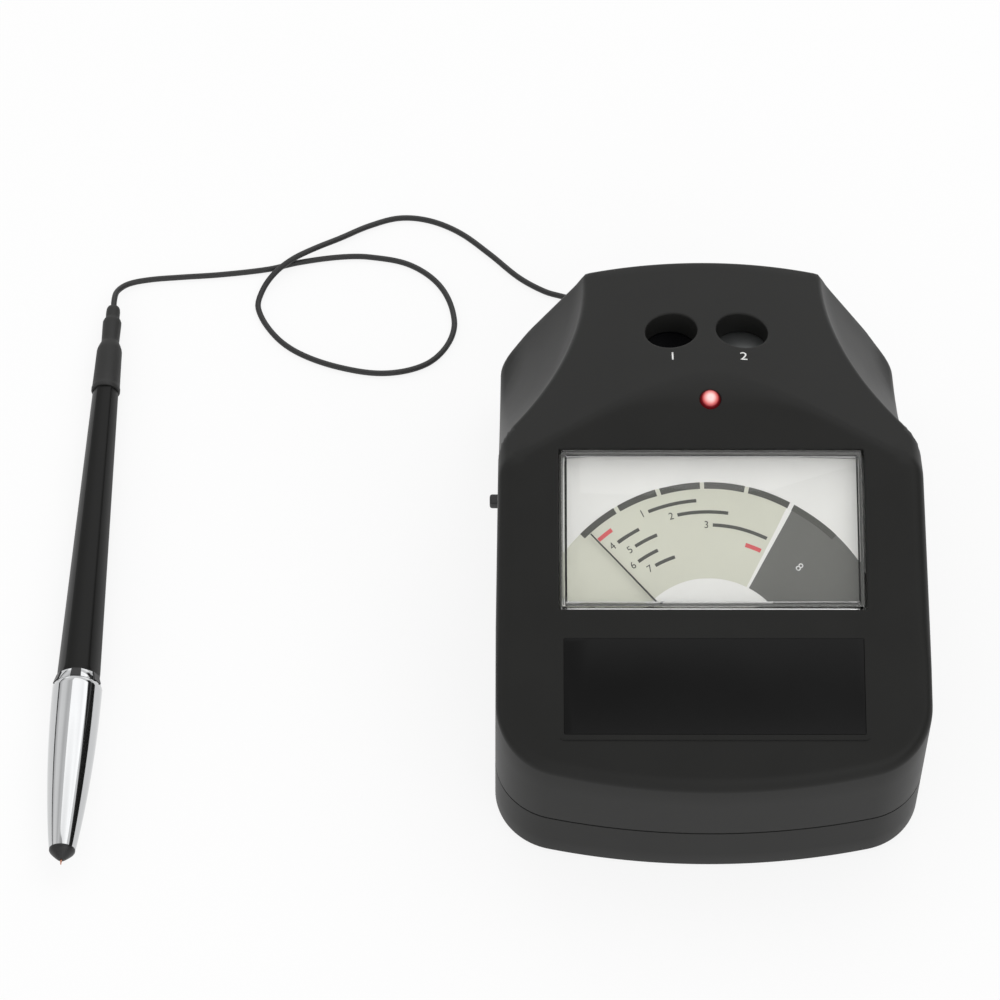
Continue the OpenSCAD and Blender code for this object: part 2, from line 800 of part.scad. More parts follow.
// Coil frame that turns around the core, with its two half shafts
module moving_coil() {
    color("#b06a35") on_pivot() rotate(needle_rest) {
        difference() {
            block(coil_w, 2 * coil_out_r, coil_top, coil_end);
            block(coil_w + 1, 2 * coil_in_r, coil_top + coil_bar, coil_end - coil_bar);
        }
        translate([0, 0, -coil_top]) cylinder(r = shaft_r, h = coil_top - jewel_front_end + jewel_bore - 0.1);
        translate([0, 0, -jewel_back_top - jewel_bore + 0.1])
            cylinder(r = shaft_r, h = jewel_back_top - coil_end + jewel_bore - 0.1);
    }
}

// Ring magnet around the coil
module meter_magnet() {
    color("#5a5a5c") on_pivot() translate([0, 0, -ring_top - ring_h]) difference() {
        cylinder(r = ring_r, h = ring_h);
        translate([0, 0, -1]) cylinder(r = ring_bore_r, h = ring_h + 2);
    }
}

// Iron core held in the ring by two webs
module meter_core() {
    color("#77787a") on_pivot() translate([0, 0, -core_top - core_h]) {
        cylinder(r = core_r, h = core_h);
        intersection() {
            translate([-ring_bore_r, -web_w / 2, core_h / 4]) cube([2 * ring_bore_r, web_w, core_h / 2]);
            cylinder(r = ring_bore_r - face_gap, h = core_h);
        }
    }
}

// Bar on two posts that carries the front bearing
module meter_bridge() {
    color("#b89a4a") on_pivot() difference() {
        union() {
            block(2 * ring_r, bridge_w, bridge_top, bridge_top + bridge_t);
            both_sides() translate([bridge_post_x, 0, -ring_top + face_gap])
                cylinder(r = bridge_post_r, h = ring_top - bridge_top - bridge_t);
        }
        translate([0, 0, -2 * bridge_top]) cylinder(r = jewel_r + run_gap, h = 2 * bridge_top);
    }
}

// Front and back bearings of the coil
module jewel_bearings() {
    color("#a8323e") on_pivot() {
        difference() {
            translate([0, 0, -jewel_front_end]) cylinder(r = jewel_r, h = jewel_front_end - bridge_top);
            translate([0, 0, -jewel_front_end - 1]) cylinder(r = shaft_r + run_gap, h = 1 + jewel_bore);
        }
        difference() {
            translate([0, 0, -case_depth]) cylinder(r = jewel_back_r, h = case_depth - jewel_back_top);
            translate([0, 0, -jewel_back_top - jewel_bore])
                cylinder(r = shaft_r + run_gap, h = 1 + jewel_bore);
        }
    }
}

// Circuit board on four posts
module circuit_board() {
    color("#1f5a37") difference() {
        translate([-board_w / 2, board_front, board_z]) cube([board_w, board_l, board_t]);
        at_board_screws() translate([0, 0, -1]) cylinder(d = small_screw_d + 2 * run_gap, h = board_t + 2);
    }
}

// Chips, capacitors and a trimmer on the board
module board_components() {
    top = board_z + board_t + face_gap;
    color("#202022") {
        for (x = [-0.22, 0.04]) translate([x * board_w, board_front + board_l / 3, top])
            cube([chip_l, chip_w, chip_h]);
        for (x = [0.28, 0.38]) translate([x * board_w, board_front + board_l / 2, top])
            cylinder(d = can_d, h = can_h);
        translate([-0.3 * board_w, board_front + board_l * 2 / 3, top])
            cube([trimmer_w, trimmer_w, trimmer_h]);
    }
}

// Four screws that hold the board
module board_screws() {
    color("#9a9a98") at_board_screws() translate([0, 0, board_t + face_gap]) mirror([0, 0, 1])
        screw(small_screw_d, small_head_d, small_head_h, small_screw_l);
}

// Body of the slide switch, open towards the wall
module switch_body() {
    run = carriage_l + switch_travel + 2 * slide_gap;
    mid_y = knob_y + switch_travel / 2;
    color("#3a3a3c") difference() {
        translate([-switch_out_x, mid_y - switch_l / 2, board_z + board_t + face_gap])
            cube([switch_back, switch_l, switch_h]);
        translate([-switch_out_x - 1, mid_y - run / 2, knob_z - knob_h / 2 - slide_gap])
            cube([carriage_t + slide_gap + 1, run, knob_h + 2 * slide_gap]);
    }
}

// Knob of the slide switch: a nub outside the wall on a carriage in the switch
module switch_knob() {
    nub_l = half_w + knob_proud - switch_out_x;
    color("#151515") translate([0, knob_y, knob_z - knob_h / 2]) {
        translate([-half_w - knob_proud, -knob_l / 2, 0]) cube([nub_l + 1, knob_l, knob_h]);
        translate([-switch_out_x, -carriage_l / 2, 0]) cube([carriage_t, carriage_l, knob_h]);
    }
}

// Red lamp with a domed end, a rim and two leads
module ready_led() {
    color("#e0303a") on_panel(led_at) {
        intersection() {
            translate([0, 0, -led_len]) cylinder(d = led_d, h = far);
            union() {
                translate([0, 0, led_dome_out - led_d / 2]) sphere(d = led_d);
                translate([0, 0, -led_len]) cylinder(d = led_d, h = led_len + led_dome_out - led_d / 2);
            }
        }
        translate([0, 0, -led_len - 1]) cylinder(d = led_d + 2 * led_rim, h = 1);
        both_sides() translate([1.27, 0, -led_len - led_lead_l]) cylinder(r = led_lead_r, h = led_lead_l);
    }
}

// Sleeve that holds the lamp behind the panel
module led_holder() {
    color("#141414") intersection() {
        crown(wall + face_gap);
        on_panel(led_at) translate([0, 0, -wall - face_gap - led_holder_l]) difference() {
            cylinder(d = led_holder_d, h = led_holder_l);
            translate([0, 0, -1]) cylinder(d = led_d + 2 * run_gap, h = led_holder_l + 2);
        }
    }
}

// One reference disc, below its well
module reference_disc(side) {
    on_hump(well_at) translate([side * well_pitch / 2, 0, -disc_top - disc_t])
        cylinder(d = disc_d, h = disc_t);
}

// Dark glass disc under the left well
module glass_test_disc() {
    color("#0c0d0e") reference_disc(-1);
}

// Grey metal disc under the right well
module cal_test_disc() {
    color("#8e9090") reference_disc(1);
}

// Plate that holds both discs from below
module disc_carrier() {
    color("#1a1a1a") difference() {
        on_hump(well_at) block(carrier_w, carrier_l, carrier_top, carrier_top + carrier_t);
        at_carrier_screws() translate([0, 0, -2 * carrier_t])
            cylinder(d = small_screw_d + 2 * run_gap, h = 4 * carrier_t);
    }
}

// Two screws that hold the disc carrier
module carrier_screws() {
    color("#9a9a98") at_carrier_screws() translate([0, 0, -carrier_t - face_gap])
        screw(small_screw_d, small_head_d, small_head_h, small_screw_l);
}

// One round cell with its nub, in a place of the compartment
module round_cell(place) {
    flip = place == 0 ? 1 : 0;
    color("#3d5a80") translate([place * cell_pitch, cell_start + flip * (cell_l + cell_nub_l), cell_z])
        rotate([-90 + 180 * flip, 0, 0]) {
            cylinder(d = cell_d, h = cell_l);
            cylinder(r = cell_nub_r, h = cell_l + cell_nub_l);
        }
}

module battery_1() {
    round_cell(-1);
}

module battery_2() {
    round_cell(0);
}

module battery_3() {
    round_cell(1);
}

// Contact plates with a dimple for each end of each cell
module battery_contacts() {
    plate_x = bay_in_x - slide_gap;
    plate_h = cell_d - 2;
    rear_face = bay_rear - face_gap - contact_t;
    color("#c9c9c4") {
        for (y = [bay_front + face_gap, rear_face])
            translate([-plate_x, y, cell_z - plate_h / 2]) cube([2 * plate_x, contact_t, plate_h]);
        for (place = [-1 : 1]) translate([place * cell_pitch, 0, cell_z]) {
            translate([0, bay_front + face_gap + contact_t, 0]) rotate([-90, 0, 0])
                cylinder(r = cell_nub_r, h = contact_dimple);
            translate([0, rear_face, 0]) rotate([90, 0, 0]) cylinder(r = cell_nub_r, h = contact_dimple);
        }
    }
}

// Adapter inlet in the rear wall
module power_socket() {
    color("#121212") translate([inlet_x, rear_y, inlet_z]) rotate([90, 0, 0]) difference() {
        union() {
            cylinder(r = socket_r, h = wall + 1);
            translate([-socket_w / 2, -socket_w / 2, wall + face_gap]) cube([socket_w, socket_w, socket_l]);
        }
        translate([0, 0, -1]) cylinder(r = socket_bore_r, h = socket_bore_l + 1);
        cylinder(r = socket_pin_r + run_gap, h = socket_l);
    }
}

// Centre pin of the inlet
module socket_pin() {
    color("#c8c8c4") translate([inlet_x, rear_y - 1, inlet_z]) rotate([90, 0, 0])
        cylinder(r = socket_pin_r, h = socket_l - 1 - face_gap);
}

// Rubber gland held by the rear wall, tapering to the cord
module cord_gland() {
    inner = wall + face_gap;
    color("#202020") translate([-inlet_x, rear_y, inlet_z]) rotate([-90, 0, 0]) rotate_extrude()
        polygon([[0, -inner - gland_flange_t], [gland_flange_r, -inner - gland_flange_t],
            [gland_flange_r, -inner], [gland_neck_r, -inner], [gland_neck_r, face_gap],
            [gland_flange_r, face_gap], [gland_flange_r, gland_flange_t],
            [gland_neck_r, gland_flange_t + 1], [cord_d, gland_l], [0, gland_l]]);
}

// Probe cord from the gland to the pen
module probe_cord() {
    color("#262626") swept_tube(route_rings(cord_points), cord_d / 2, cord_sides);
}

// Stepped rubber boot at the pen's end
module pen_boot() {
    neck_at = boot_at + boot_thick_l + 4.5;
    end_at = pen_l - 3.5;
    plug_l = 8;
    color("#242424") at_pen() {
        rotate_extrude() polygon([[0, boot_at], [boot_d / 2 - 0.3, boot_at], [boot_d / 2, boot_at + 0.6],
            [boot_d / 2, boot_at + boot_thick_l], [boot_neck_r + 0.5, neck_at - 1], [boot_neck_r, neck_at],
            [boot_neck_r - 0.1, end_at - 1.5], [boot_end_r, end_at], [boot_end_r, pen_l - 0.8],
            [boot_end_r - 0.6, pen_l], [0, pen_l]]);
        translate([0, 0, boot_at - plug_l]) cylinder(r = wire_bore_r - run_gap, h = plug_l + 1);
    }
}

// Flat-sided tapering barrel
module pen_barrel() {
    color("#1b1b1b") at_pen() difference() {
        translate([0, 0, barrel_at]) rotate(90 + 180 / barrel_sides)
            cylinder(d1 = barrel_d1, d2 = barrel_d2, h = barrel_l, $fn = barrel_sides);
        translate([0, 0, barrel_at - 1]) cylinder(r = insert_r + run_gap, h = insert_in + 2);
        cylinder(r = wire_bore_r, h = pen_l);
    }
}

// Dark ring with a bright tab between barrel and nose
module pen_ring() {
    color("#2a2a2a") at_pen() translate([0, 0, ring_at]) difference() {
        union() {
            cylinder(d = nose_d - 1, h = ring_l);
            translate([-1.5, nose_d / 2 - 1.5, 0]) cube([3, 1.3, ring_l]);
        }
        translate([0, 0, -1]) cylinder(r = insert_r + run_gap, h = ring_l + 2);
    }
}

// Bright tapering nose
module nose_cone() {
    nose_run = nose_l - nose_at;
    color("#d8dadc") at_pen() difference() {
        rotate_extrude() polygon(concat([[0, nose_at]],
            [for (t = [0 : 0.1 : 1.001])
                [collar_d / 2 + (nose_d - collar_d) / 2 * sin(90 * pow(t, 0.85)), nose_at + nose_run * t]],
            [[0, nose_l]]));
        translate([0, 0, nose_at - 1]) cylinder(r = nose_bore_r, h = nose_l);
        translate([0, 0, nose_l - insert_in - 1]) cylinder(r = insert_r + run_gap, h = insert_in + 2);
    }
}

// Sleeve that joins barrel and nose
module pen_insert() {
    color("#b8953f") at_pen() translate([0, 0, nose_l - insert_in]) difference() {
        cylinder(r = insert_r, h = barrel_at - nose_l + 2 * insert_in);
        translate([0, 0, -1]) cylinder(r = insert_bore_r, h = nose_l);
    }
}

// Black domed end of the nose
module tip_collar() {
    shoulder = nose_at - face_gap;
    dome_l = shoulder - tip_reach;
    color("#141414") at_pen() rotate_extrude() difference() {
        polygon([[0, tip_reach], [0.8, tip_reach], [1.6, tip_reach + 0.2 * dome_l],
            [collar_d / 2 - 0.4, tip_reach + 0.65 * dome_l], [collar_d / 2, tip_reach + 0.92 * dome_l],
            [collar_d / 2, shoulder], [spigot_r, shoulder],
            [spigot_r, flange_at - tip_play], [0, flange_at - tip_play]]);
        square([needle_r + run_gap, flange_at]);
    }
}

// Bush that guides the rear end of the probe tip
module tip_guide() {
    color("#8a8a88") at_pen() translate([0, 0, spring_end + face_gap]) difference() {
        cylinder(r = nose_bore_r - run_gap, h = guide_l);
        translate([0, 0, -1]) cylinder(r = needle_r + run_gap, h = guide_l + 2);
    }
}

// Spring that pushes the probe tip out, drawn as the sleeve it fills when pressed
module tip_spring() {
    start = flange_at + flange_l + tip_travel + face_gap;
    color("#b0b0ae") at_pen() translate([0, 0, start]) difference() {
        cylinder(r = flange_r - 0.2, h = spring_end - start);
        translate([0, 0, -1]) cylinder(r = needle_r + 0.4, h = spring_end);
    }
}

// Fine copper tip with its flange
module probe_tip() {
    color("#b8734a") at_pen() {
        cylinder(r1 = tip_point_r, r2 = needle_r, h = tip_point_l);
        translate([0, 0, tip_point_l]) cylinder(r = needle_r, h = spring_end + guide_l / 2 - tip_point_l);
        translate([0, 0, flange_at]) cylinder(r = flange_r, h = flange_l);
    }
}

top_shell();
bottom_shell();
battery_door();
rubber_feet();
case_screws();
nameplate();
meter_window();
meter_case();
meter_screws();
dial_plate();
meter_needle();
moving_coil();
meter_magnet();
meter_core();
meter_bridge();
jewel_bearings();
circuit_board();
board_components();
board_screws();
switch_body();
switch_knob();
ready_led();
led_holder();
glass_test_disc();
cal_test_disc();
disc_carrier();
carrier_screws();
battery_1();
battery_2();
battery_3();
battery_contacts();
power_socket();
socket_pin();
cord_gland();
probe_cord();
pen_boot();
pen_barrel();
pen_ring();
nose_cone();
pen_insert();
tip_collar();
tip_guide();
tip_spring();
probe_tip();
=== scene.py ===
# %% [markdown]
# This lesson dresses a counter-top gemstone tester: a black moulded housing with a moving-coil
# meter on its sloping panel, a ready lamp, two test wells on the rear hump, and a pen probe on a
# thin cord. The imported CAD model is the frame, and every piece here sits on it without any fitting.
# The sizes below are the CAD sizes in millimetres, because a maker thinks in millimetres; one
# factor turns them into Blender's metres when a mesh is written.

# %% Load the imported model
import math

import bmesh
import bpy
import numpy as np
from mathutils import Matrix, Vector
from mathutils.geometry import delaunay_2d_cdt


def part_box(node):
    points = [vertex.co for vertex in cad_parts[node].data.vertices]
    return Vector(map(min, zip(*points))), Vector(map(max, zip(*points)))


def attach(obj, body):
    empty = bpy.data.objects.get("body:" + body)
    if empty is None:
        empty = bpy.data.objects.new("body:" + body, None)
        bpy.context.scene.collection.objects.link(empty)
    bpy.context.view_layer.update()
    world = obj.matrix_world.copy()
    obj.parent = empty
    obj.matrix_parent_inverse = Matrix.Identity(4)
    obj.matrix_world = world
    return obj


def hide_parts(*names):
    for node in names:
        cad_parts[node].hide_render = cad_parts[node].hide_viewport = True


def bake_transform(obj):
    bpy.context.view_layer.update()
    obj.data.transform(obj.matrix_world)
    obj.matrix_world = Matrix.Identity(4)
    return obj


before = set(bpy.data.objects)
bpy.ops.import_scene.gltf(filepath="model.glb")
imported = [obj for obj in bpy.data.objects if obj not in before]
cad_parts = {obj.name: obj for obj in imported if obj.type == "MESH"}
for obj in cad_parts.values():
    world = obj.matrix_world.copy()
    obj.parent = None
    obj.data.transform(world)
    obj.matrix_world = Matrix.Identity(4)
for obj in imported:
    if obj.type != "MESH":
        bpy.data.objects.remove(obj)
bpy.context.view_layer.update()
scene = bpy.context.scene
MM = 0.001

# %% [markdown]
# The camera comes first, because everything is seen through it. Its place and its long lens
# were solved from the straight edges and corners of the object, so it looks down by about 57
# degrees from in front. The picture is taken to be 1000 pixels wide.

# %% Camera at the photograph's viewpoint
PICTURE_PX, FOCAL_PX, SENSOR_MM = 1000, 3898, 36
LOOK_DOWN, YAW, ROLL = (math.radians(a) for a in (56.77, 0.28, 0.29))
CAMERA_AT = Vector((-58.62, -566.8, 927.25))
forward = Vector((math.sin(YAW) * math.cos(LOOK_DOWN), math.cos(YAW) * math.cos(LOOK_DOWN),
                  -math.sin(LOOK_DOWN)))
level = Vector((math.cos(YAW), -math.sin(YAW), 0))
upright = level.cross(forward)
across = math.cos(ROLL) * level + math.sin(ROLL) * upright
above = math.cos(ROLL) * upright - math.sin(ROLL) * level
lens = bpy.data.cameras.new("photo_camera")
lens.sensor_width = SENSOR_MM
lens.lens = SENSOR_MM * FOCAL_PX / PICTURE_PX
lens.clip_start, lens.clip_end = 0.01, 20
camera = bpy.data.objects.new("photo_camera", lens)
facing = Matrix((across, above, -forward)).transposed().to_4x4()
camera.matrix_world = Matrix.Translation(CAMERA_AT * MM) @ facing
scene.collection.objects.link(camera)
scene.camera = camera
scene.view_settings.view_transform = "Standard"
print("lens", round(lens.lens, 1), "mm")

# %% [markdown]
# Materials share three small helpers: one turns a written sRGB colour into the linear values that
# shaders use, one adds a node with its settings and links, and one builds a moulded, printed or
# turned finish. That finish is a Principled surface whose colour and roughness vary a little over
# the piece, and whose grain is a bump with a size in millimetres.

# %% Helpers for materials
def linear(code):
    """Linear RGBA of an sRGB hex colour such as '#1f2020'."""
    parts = [int(code[i:i + 2], 16) / 255 for i in (1, 3, 5)]
    return [c / 12.92 if c <= 0.04045 else ((c + 0.055) / 1.055) ** 2.4 for c in parts] + [1]


def add(tree, kind, links=None, **settings):
    """A new node: settings are its properties, links its inputs, each a value or another socket."""
    node = tree.nodes.new(kind)
    for key, value in settings.items():
        setattr(node, key, value)
    for key, value in (links or {}).items():
        if isinstance(value, bpy.types.NodeSocket):
            tree.links.new(value, node.inputs[key])
        else:
            node.inputs[key].default_value = value
    return node


# Patches of slightly other tone are about this wide, in mm.
PATCH = 14.0


def finish(name, colour, roughness, metallic=0.0, ior=1.5, grain=0.5, depth=0.02, vary=0.12,
           rough_vary=0.06, coat=0.0, gleam=0.5):
    """A finish with patches of slightly other colour and gloss, and grain of a size in mm."""
    material = bpy.data.materials.new(name)
    material.use_nodes = True
    tree = material.node_tree
    surface = tree.nodes["Principled BSDF"].inputs
    for socket, value in (("Metallic", metallic), ("IOR", ior), ("Coat Weight", coat),
                          ("Specular IOR Level", gleam)):
        surface[socket].default_value = value
    place = add(tree, "ShaderNodeTexCoord").outputs["Object"]
    cloud = add(tree, "ShaderNodeTexNoise",
                {"Vector": place, "Scale": 1 / (PATCH * MM), "Detail": 3})
    middle = {"Value": cloud.outputs["Fac"], "From Min": 0.3, "From Max": 0.7}
    if vary:
        tone = add(tree, "ShaderNodeMapRange", {**middle, "To Min": 1 - vary, "To Max": 1 + vary})
        shade = add(tree, "ShaderNodeVectorMath",
                    {0: linear(colour)[:3], "Scale": tone.outputs[0]}, operation="SCALE")
        tree.links.new(shade.outputs[0], surface["Base Color"])
    else:
        surface["Base Color"].default_value = linear(colour)
    gloss = add(tree, "ShaderNodeMapRange", {**middle, "To Min": roughness - rough_vary,
                                             "To Max": roughness + rough_vary})
    speck = add(tree, "ShaderNodeTexNoise",
                {"Vector": place, "Scale": 1 / (grain * MM), "Detail": 2})
    bump = add(tree, "ShaderNodeBump", {"Height": speck.outputs["Fac"], "Strength": 1.0,
                                        "Distance": depth * MM})
    for node, socket in ((gloss, "Roughness"), (bump, "Normal")):
        tree.links.new(node.outputs[0], surface[socket])
    return material


# %% [markdown]
# The housing, tray and barrel are ABS from a spark-eroded mould: near black, satin, with a fine
# even grain that breaks reflections up. Rubber is duller, the pen's nose is bright chrome plate,
# and the rest follow the same rule: what the thing is made of, then how its surface was made. The
# grain of such a mould is about 0.1 mm, too fine for the picture, so it is drawn at 0.6 mm.

# %% Materials of the outside
before = len(bpy.data.materials)
# Satin ABS from an eroded mould: near black, with a broad soft sheen instead of reflections.
satin_abs = finish("satin_abs_black", "#222221", 0.42, ior=1.47, gleam=0.15, grain=0.6,
                   depth=0.008, vary=0.04, rough_vary=0.015)
# The tray's ABS, from a mould of its own: a shade darker and duller.
tray_abs = finish("satin_abs_tray", "#212120", 0.44, ior=1.47, gleam=0.14, grain=0.6, depth=0.008,
                  vary=0.04, rough_vary=0.015)
# The barrel's ABS, from a finer mould: deep black, with a brighter line along each flat.
barrel_abs = finish("satin_abs_barrel", "#0e0e0d", 0.36, ior=1.48, gleam=0.2, grain=0.6,
                    depth=0.006, vary=0.04, rough_vary=0.02)
# Small ABS mouldings: plain black with a slight shine.
small_abs = finish("moulded_abs_small", "#121213", 0.4, grain=0.4, depth=0.01)
# Moulded rubber: dull, with an uneven bloom.
rubber = finish("moulded_rubber", "#161615", 0.62, ior=1.52, grain=0.5, depth=0.03, vary=0.15)
# Extruded soft PVC: dark grey, with one soft line of light along the cord.
cord_sheath = finish("soft_pvc_sheath", "#1a1a1a", 0.5, ior=1.54, grain=0.6, depth=0.02)
# Printed sheet under a gloss layer: the deepest black, with slow waves in its shine.
gloss_plate = finish("gloss_printed_plate", "#050505", 0.36, gleam=0.18, grain=3.0, depth=0.002,
                     rough_vary=0.02)
# Chrome plate on polished metal: a mirror with crisp light and dark bands.
chrome = finish("bright_chrome_plate", "#c6c7c8", 0.07, metallic=1.0, grain=1.2, depth=0.0006,
                vary=0.02, rough_vary=0.015)
# Bare drawn copper: warm, and only half bright.
copper = finish("bare_copper", "#c08a74", 0.34, metallic=1.0, grain=0.3, depth=0.004)
# Uncoated card: white and flat, without any shine.
card = finish("matt_printed_card", "#f3f3ef", 0.75, grain=0.35, depth=0.006, vary=0.02)
# Lapped metal: an even grey with a soft gleam.
lapped_metal = finish("lapped_grey_metal", "#6c6e6e", 0.32, metallic=0.8, grain=0.25, depth=0.003)
# Polished dark glass: black, with sharp reflections.
dark_glass = finish("polished_dark_glass", "#0a0a0c", 0.08, grain=4.0, depth=0.001,
                    rough_vary=0.02)
print("finishes of the outside:", len(bpy.data.materials) - before)

# %% Materials of the inside
# Wound enamelled wire: orange brown with a lacquer's shine.
coil_wire = finish("enamelled_copper_wire", "#a0602e", 0.35, metallic=1.0, grain=0.3, depth=0.02)
# Zinc plate on steel: pale grey, softly bright.
steel = finish("zinc_plated_steel", "#b4b4b0", 0.34, metallic=1.0, grain=0.4, depth=0.004)
# Nickel plate on spring strip: warmer and brighter than zinc.
nickel = finish("nickel_plated_strip", "#c9c7c0", 0.25, metallic=1.0, grain=0.6, depth=0.003)
# Turned soft iron: dark grey with fine tool marks.
soft_iron = finish("turned_soft_iron", "#8c8d8f", 0.4, metallic=1.0, grain=0.3, depth=0.005)
# Turned brass: yellow, with a clean cut surface.
brass = finish("turned_brass", "#c2a04c", 0.3, metallic=1.0, grain=0.3, depth=0.004)
# Sintered magnet: dark, dull and slightly rough.
magnet = finish("sintered_magnet", "#4c4d50", 0.55, metallic=0.6, grain=0.3, depth=0.01)
# Shrunk plastic sleeve: one plain blue under a thin clear layer.
cell_sleeve = finish("plain_cell_sleeve", "#35507a", 0.3, grain=0.8, depth=0.004, coat=0.3)
# Solder mask on a board: green and half glossy.
board_mask = finish("solder_masked_board", "#1c5a35", 0.35, grain=1.0, depth=0.006)
# Polished synthetic jewel: deep red, with sharp highlights.
jewel = finish("synthetic_jewel", "#8e1c2c", 0.1, ior=1.76, grain=1.0, depth=0.001)

NODE_FINISH = {
    tray_abs: ["bottom_shell", "battery_door"],
    satin_abs: ["top_shell"],
    rubber: ["rubber_feet", "cord_gland", "pen_boot"],
    cord_sheath: ["probe_cord"],
    steel: ["case_screws", "meter_screws", "board_screws", "carrier_screws"],
    gloss_plate: ["nameplate"],
    card: ["dial_plate"],
    coil_wire: ["moving_coil"],
    magnet: ["meter_magnet"],
    soft_iron: ["meter_core", "tip_guide"],
    brass: ["meter_bridge", "pen_insert"],
    jewel: ["jewel_bearings"],
    board_mask: ["circuit_board"],
    nickel: ["battery_contacts", "socket_pin", "tip_spring"],
    lapped_metal: ["cal_test_disc"],
    dark_glass: ["glass_test_disc"],
    cell_sleeve: ["battery_1", "battery_2", "battery_3"],
    chrome: ["nose_cone"],
    copper: ["probe_tip"],
    barrel_abs: ["pen_barrel"],
    small_abs: ["meter_case", "meter_needle", "board_components", "switch_body", "switch_knob",
                "led_holder", "disc_carrier", "power_socket", "pen_ring", "tip_collar", "ready_led",
                "meter_window"],
}
for material, names in NODE_FINISH.items():
    for name in names:
        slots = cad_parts[name].data.materials
        slots.clear()
        slots.append(material)
print("nodes with a finish:", sum(len(names) for names in NODE_FINISH.values()))

# %% [markdown]
# Five mesh helpers follow. A mesh is written from points in millimetres, with smooth shading up to
# an angle; its doubled points are merged and its faces turned outwards; a modifier's result is kept
# as a plain mesh; and a piece is finished by joining it to the body that it moves with and hiding
# the node that it stands for.

# %% Helpers for meshes
# Faces that meet at less than such an angle, in degrees, are shaded as one surface.
CRISP, FIRM, EASED, ROUND = 20, 30, 35, 50


def mesh_piece(name, points, faces, material, smooth_angle=40):
    """A new object from points in mm; faces meet smoothly below the given angle."""
    mesh = bpy.data.meshes.new(name)
    mesh.from_pydata([tuple(c * MM for c in p) for p in points], [], [tuple(f) for f in faces])
    mesh.validate()
    mesh.materials.append(material)
    piece = bpy.data.objects.new(name, mesh)
    scene.collection.objects.link(piece)
    soften(piece, smooth_angle)
    return piece


def soften(piece, smooth_angle):
    """Smooth shading that keeps edges sharper than the angle."""
    piece.data.polygons.foreach_set("use_smooth", [True] * len(piece.data.polygons))
    piece.data.set_sharp_from_angle(angle=math.radians(smooth_angle))


def outward(piece):
    """Merge doubled points and turn every face outwards."""
    work = bmesh.new()
    work.from_mesh(piece.data)
    bmesh.ops.remove_doubles(work, verts=work.verts, dist=1e-6)
    bmesh.ops.recalc_face_normals(work, faces=work.faces)
    work.to_mesh(piece.data)
    work.free()
    return piece


def keep_modifiers(piece):
    """Turn the evaluated shape into a plain mesh, and drop the modifiers."""
    bpy.context.view_layer.update()
    shaped = bpy.data.meshes.new_from_object(
        piece.evaluated_get(bpy.context.evaluated_depsgraph_get()))
    piece.modifiers.clear()
    piece.data = shaped
    return piece


def join_body(piece, body, slot, *nodes):
    """The piece rides on a body and stands for the named nodes; the slot is not used."""
    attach(piece, body)
    if nodes:
        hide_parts(*nodes)
    print(piece.name, len(piece.data.polygons), "faces on", body)


# %% [markdown]
# The probe cord is a thin limp sheath that lies on the table in one open loop and crosses over
# itself once. Its route repeats the CAD points, with the same smooth curve through them. A node
# tree sweeps a round section along that line, because a path and a section are all that a cord is.

# %% Route of the cord
GLAND_TIP = Vector((-28, 91, 11))
PEN_TIP = Vector((-172.4, -80.5, 8.06727))
PEN_DIR = Vector((0.0200646, 0.9995324, -0.0230742)).normalized()
PEN_L = 186.15
PEN_END = PEN_TIP + PEN_L * PEN_DIR
CORD_D, ROUTE_STEP = 1.7, 1.2
GLAND_RUN, BOOT_RUN = 6, 3
LYING = [(-29.5, 103, 8), (-33, 108.5, 3.5), (-37.5, 111.5, 1.2), (-42.5, 113.5, 0.9),
         (-50, 118.5, 0.9), (-58.5, 127, 0.9), (-67.5, 135, 0.9), (-76.5, 139.5, 0.9),
         (-85.5, 140.5, 0.9), (-94.5, 137.5, 1), (-103, 132.5, 1.6), (-111, 127.5, 2.8),
         (-117, 123.5, 3.1), (-122, 119, 2.4), (-125.5, 113.5, 1.2), (-126.5, 107, 0.9),
         (-121.5, 97.5, 0.9), (-114, 91, 0.9), (-102, 86, 0.9), (-89, 84, 0.9),
         (-77.5, 87, 0.9), (-71, 94, 0.9), (-69, 103, 0.9), (-73, 115, 0.9),
         (-82, 123, 0.9), (-94, 126, 0.9), (-103, 126, 0.9), (-115, 124, 0.9),
         (-124, 121.5, 0.9), (-138, 119.5, 0.9), (-150, 118.5, 0.9), (-159, 117.5, 1),
         (-165, 115.5, 1.6), (-168, 112, 2.8)]
route = ([GLAND_TIP, GLAND_TIP + Vector((0, GLAND_RUN, 0))] + [Vector(p) for p in LYING]
         + [PEN_END + BOOT_RUN * PEN_DIR, PEN_END])


def smooth_route(points, step):
    """Points along the cubic Hermite curve through a route, about one step apart."""
    last = len(points) - 1
    ways = [(points[min(i + 1, last)] - points[max(i - 1, 0)]).normalized()
            for i in range(last + 1)]
    line = []
    for i in range(last):
        reach = (points[i + 1] - points[i]).length
        count = max(1, round(reach / step))
        for t in (k / count for k in range(count)):
            line.append((2 * t ** 3 - 3 * t * t + 1) * points[i]
                        + (t ** 3 - 2 * t * t + t) * reach * ways[i]
                        + (3 * t * t - 2 * t ** 3) * points[i + 1]
                        + (t ** 3 - t * t) * reach * ways[i + 1])
    return line + [points[last]]


cord_line = smooth_route(route, ROUTE_STEP)
cord_length = sum((b - a).length for a, b in zip(cord_line, cord_line[1:]))
print("cord", round(cord_length, 1), "mm")


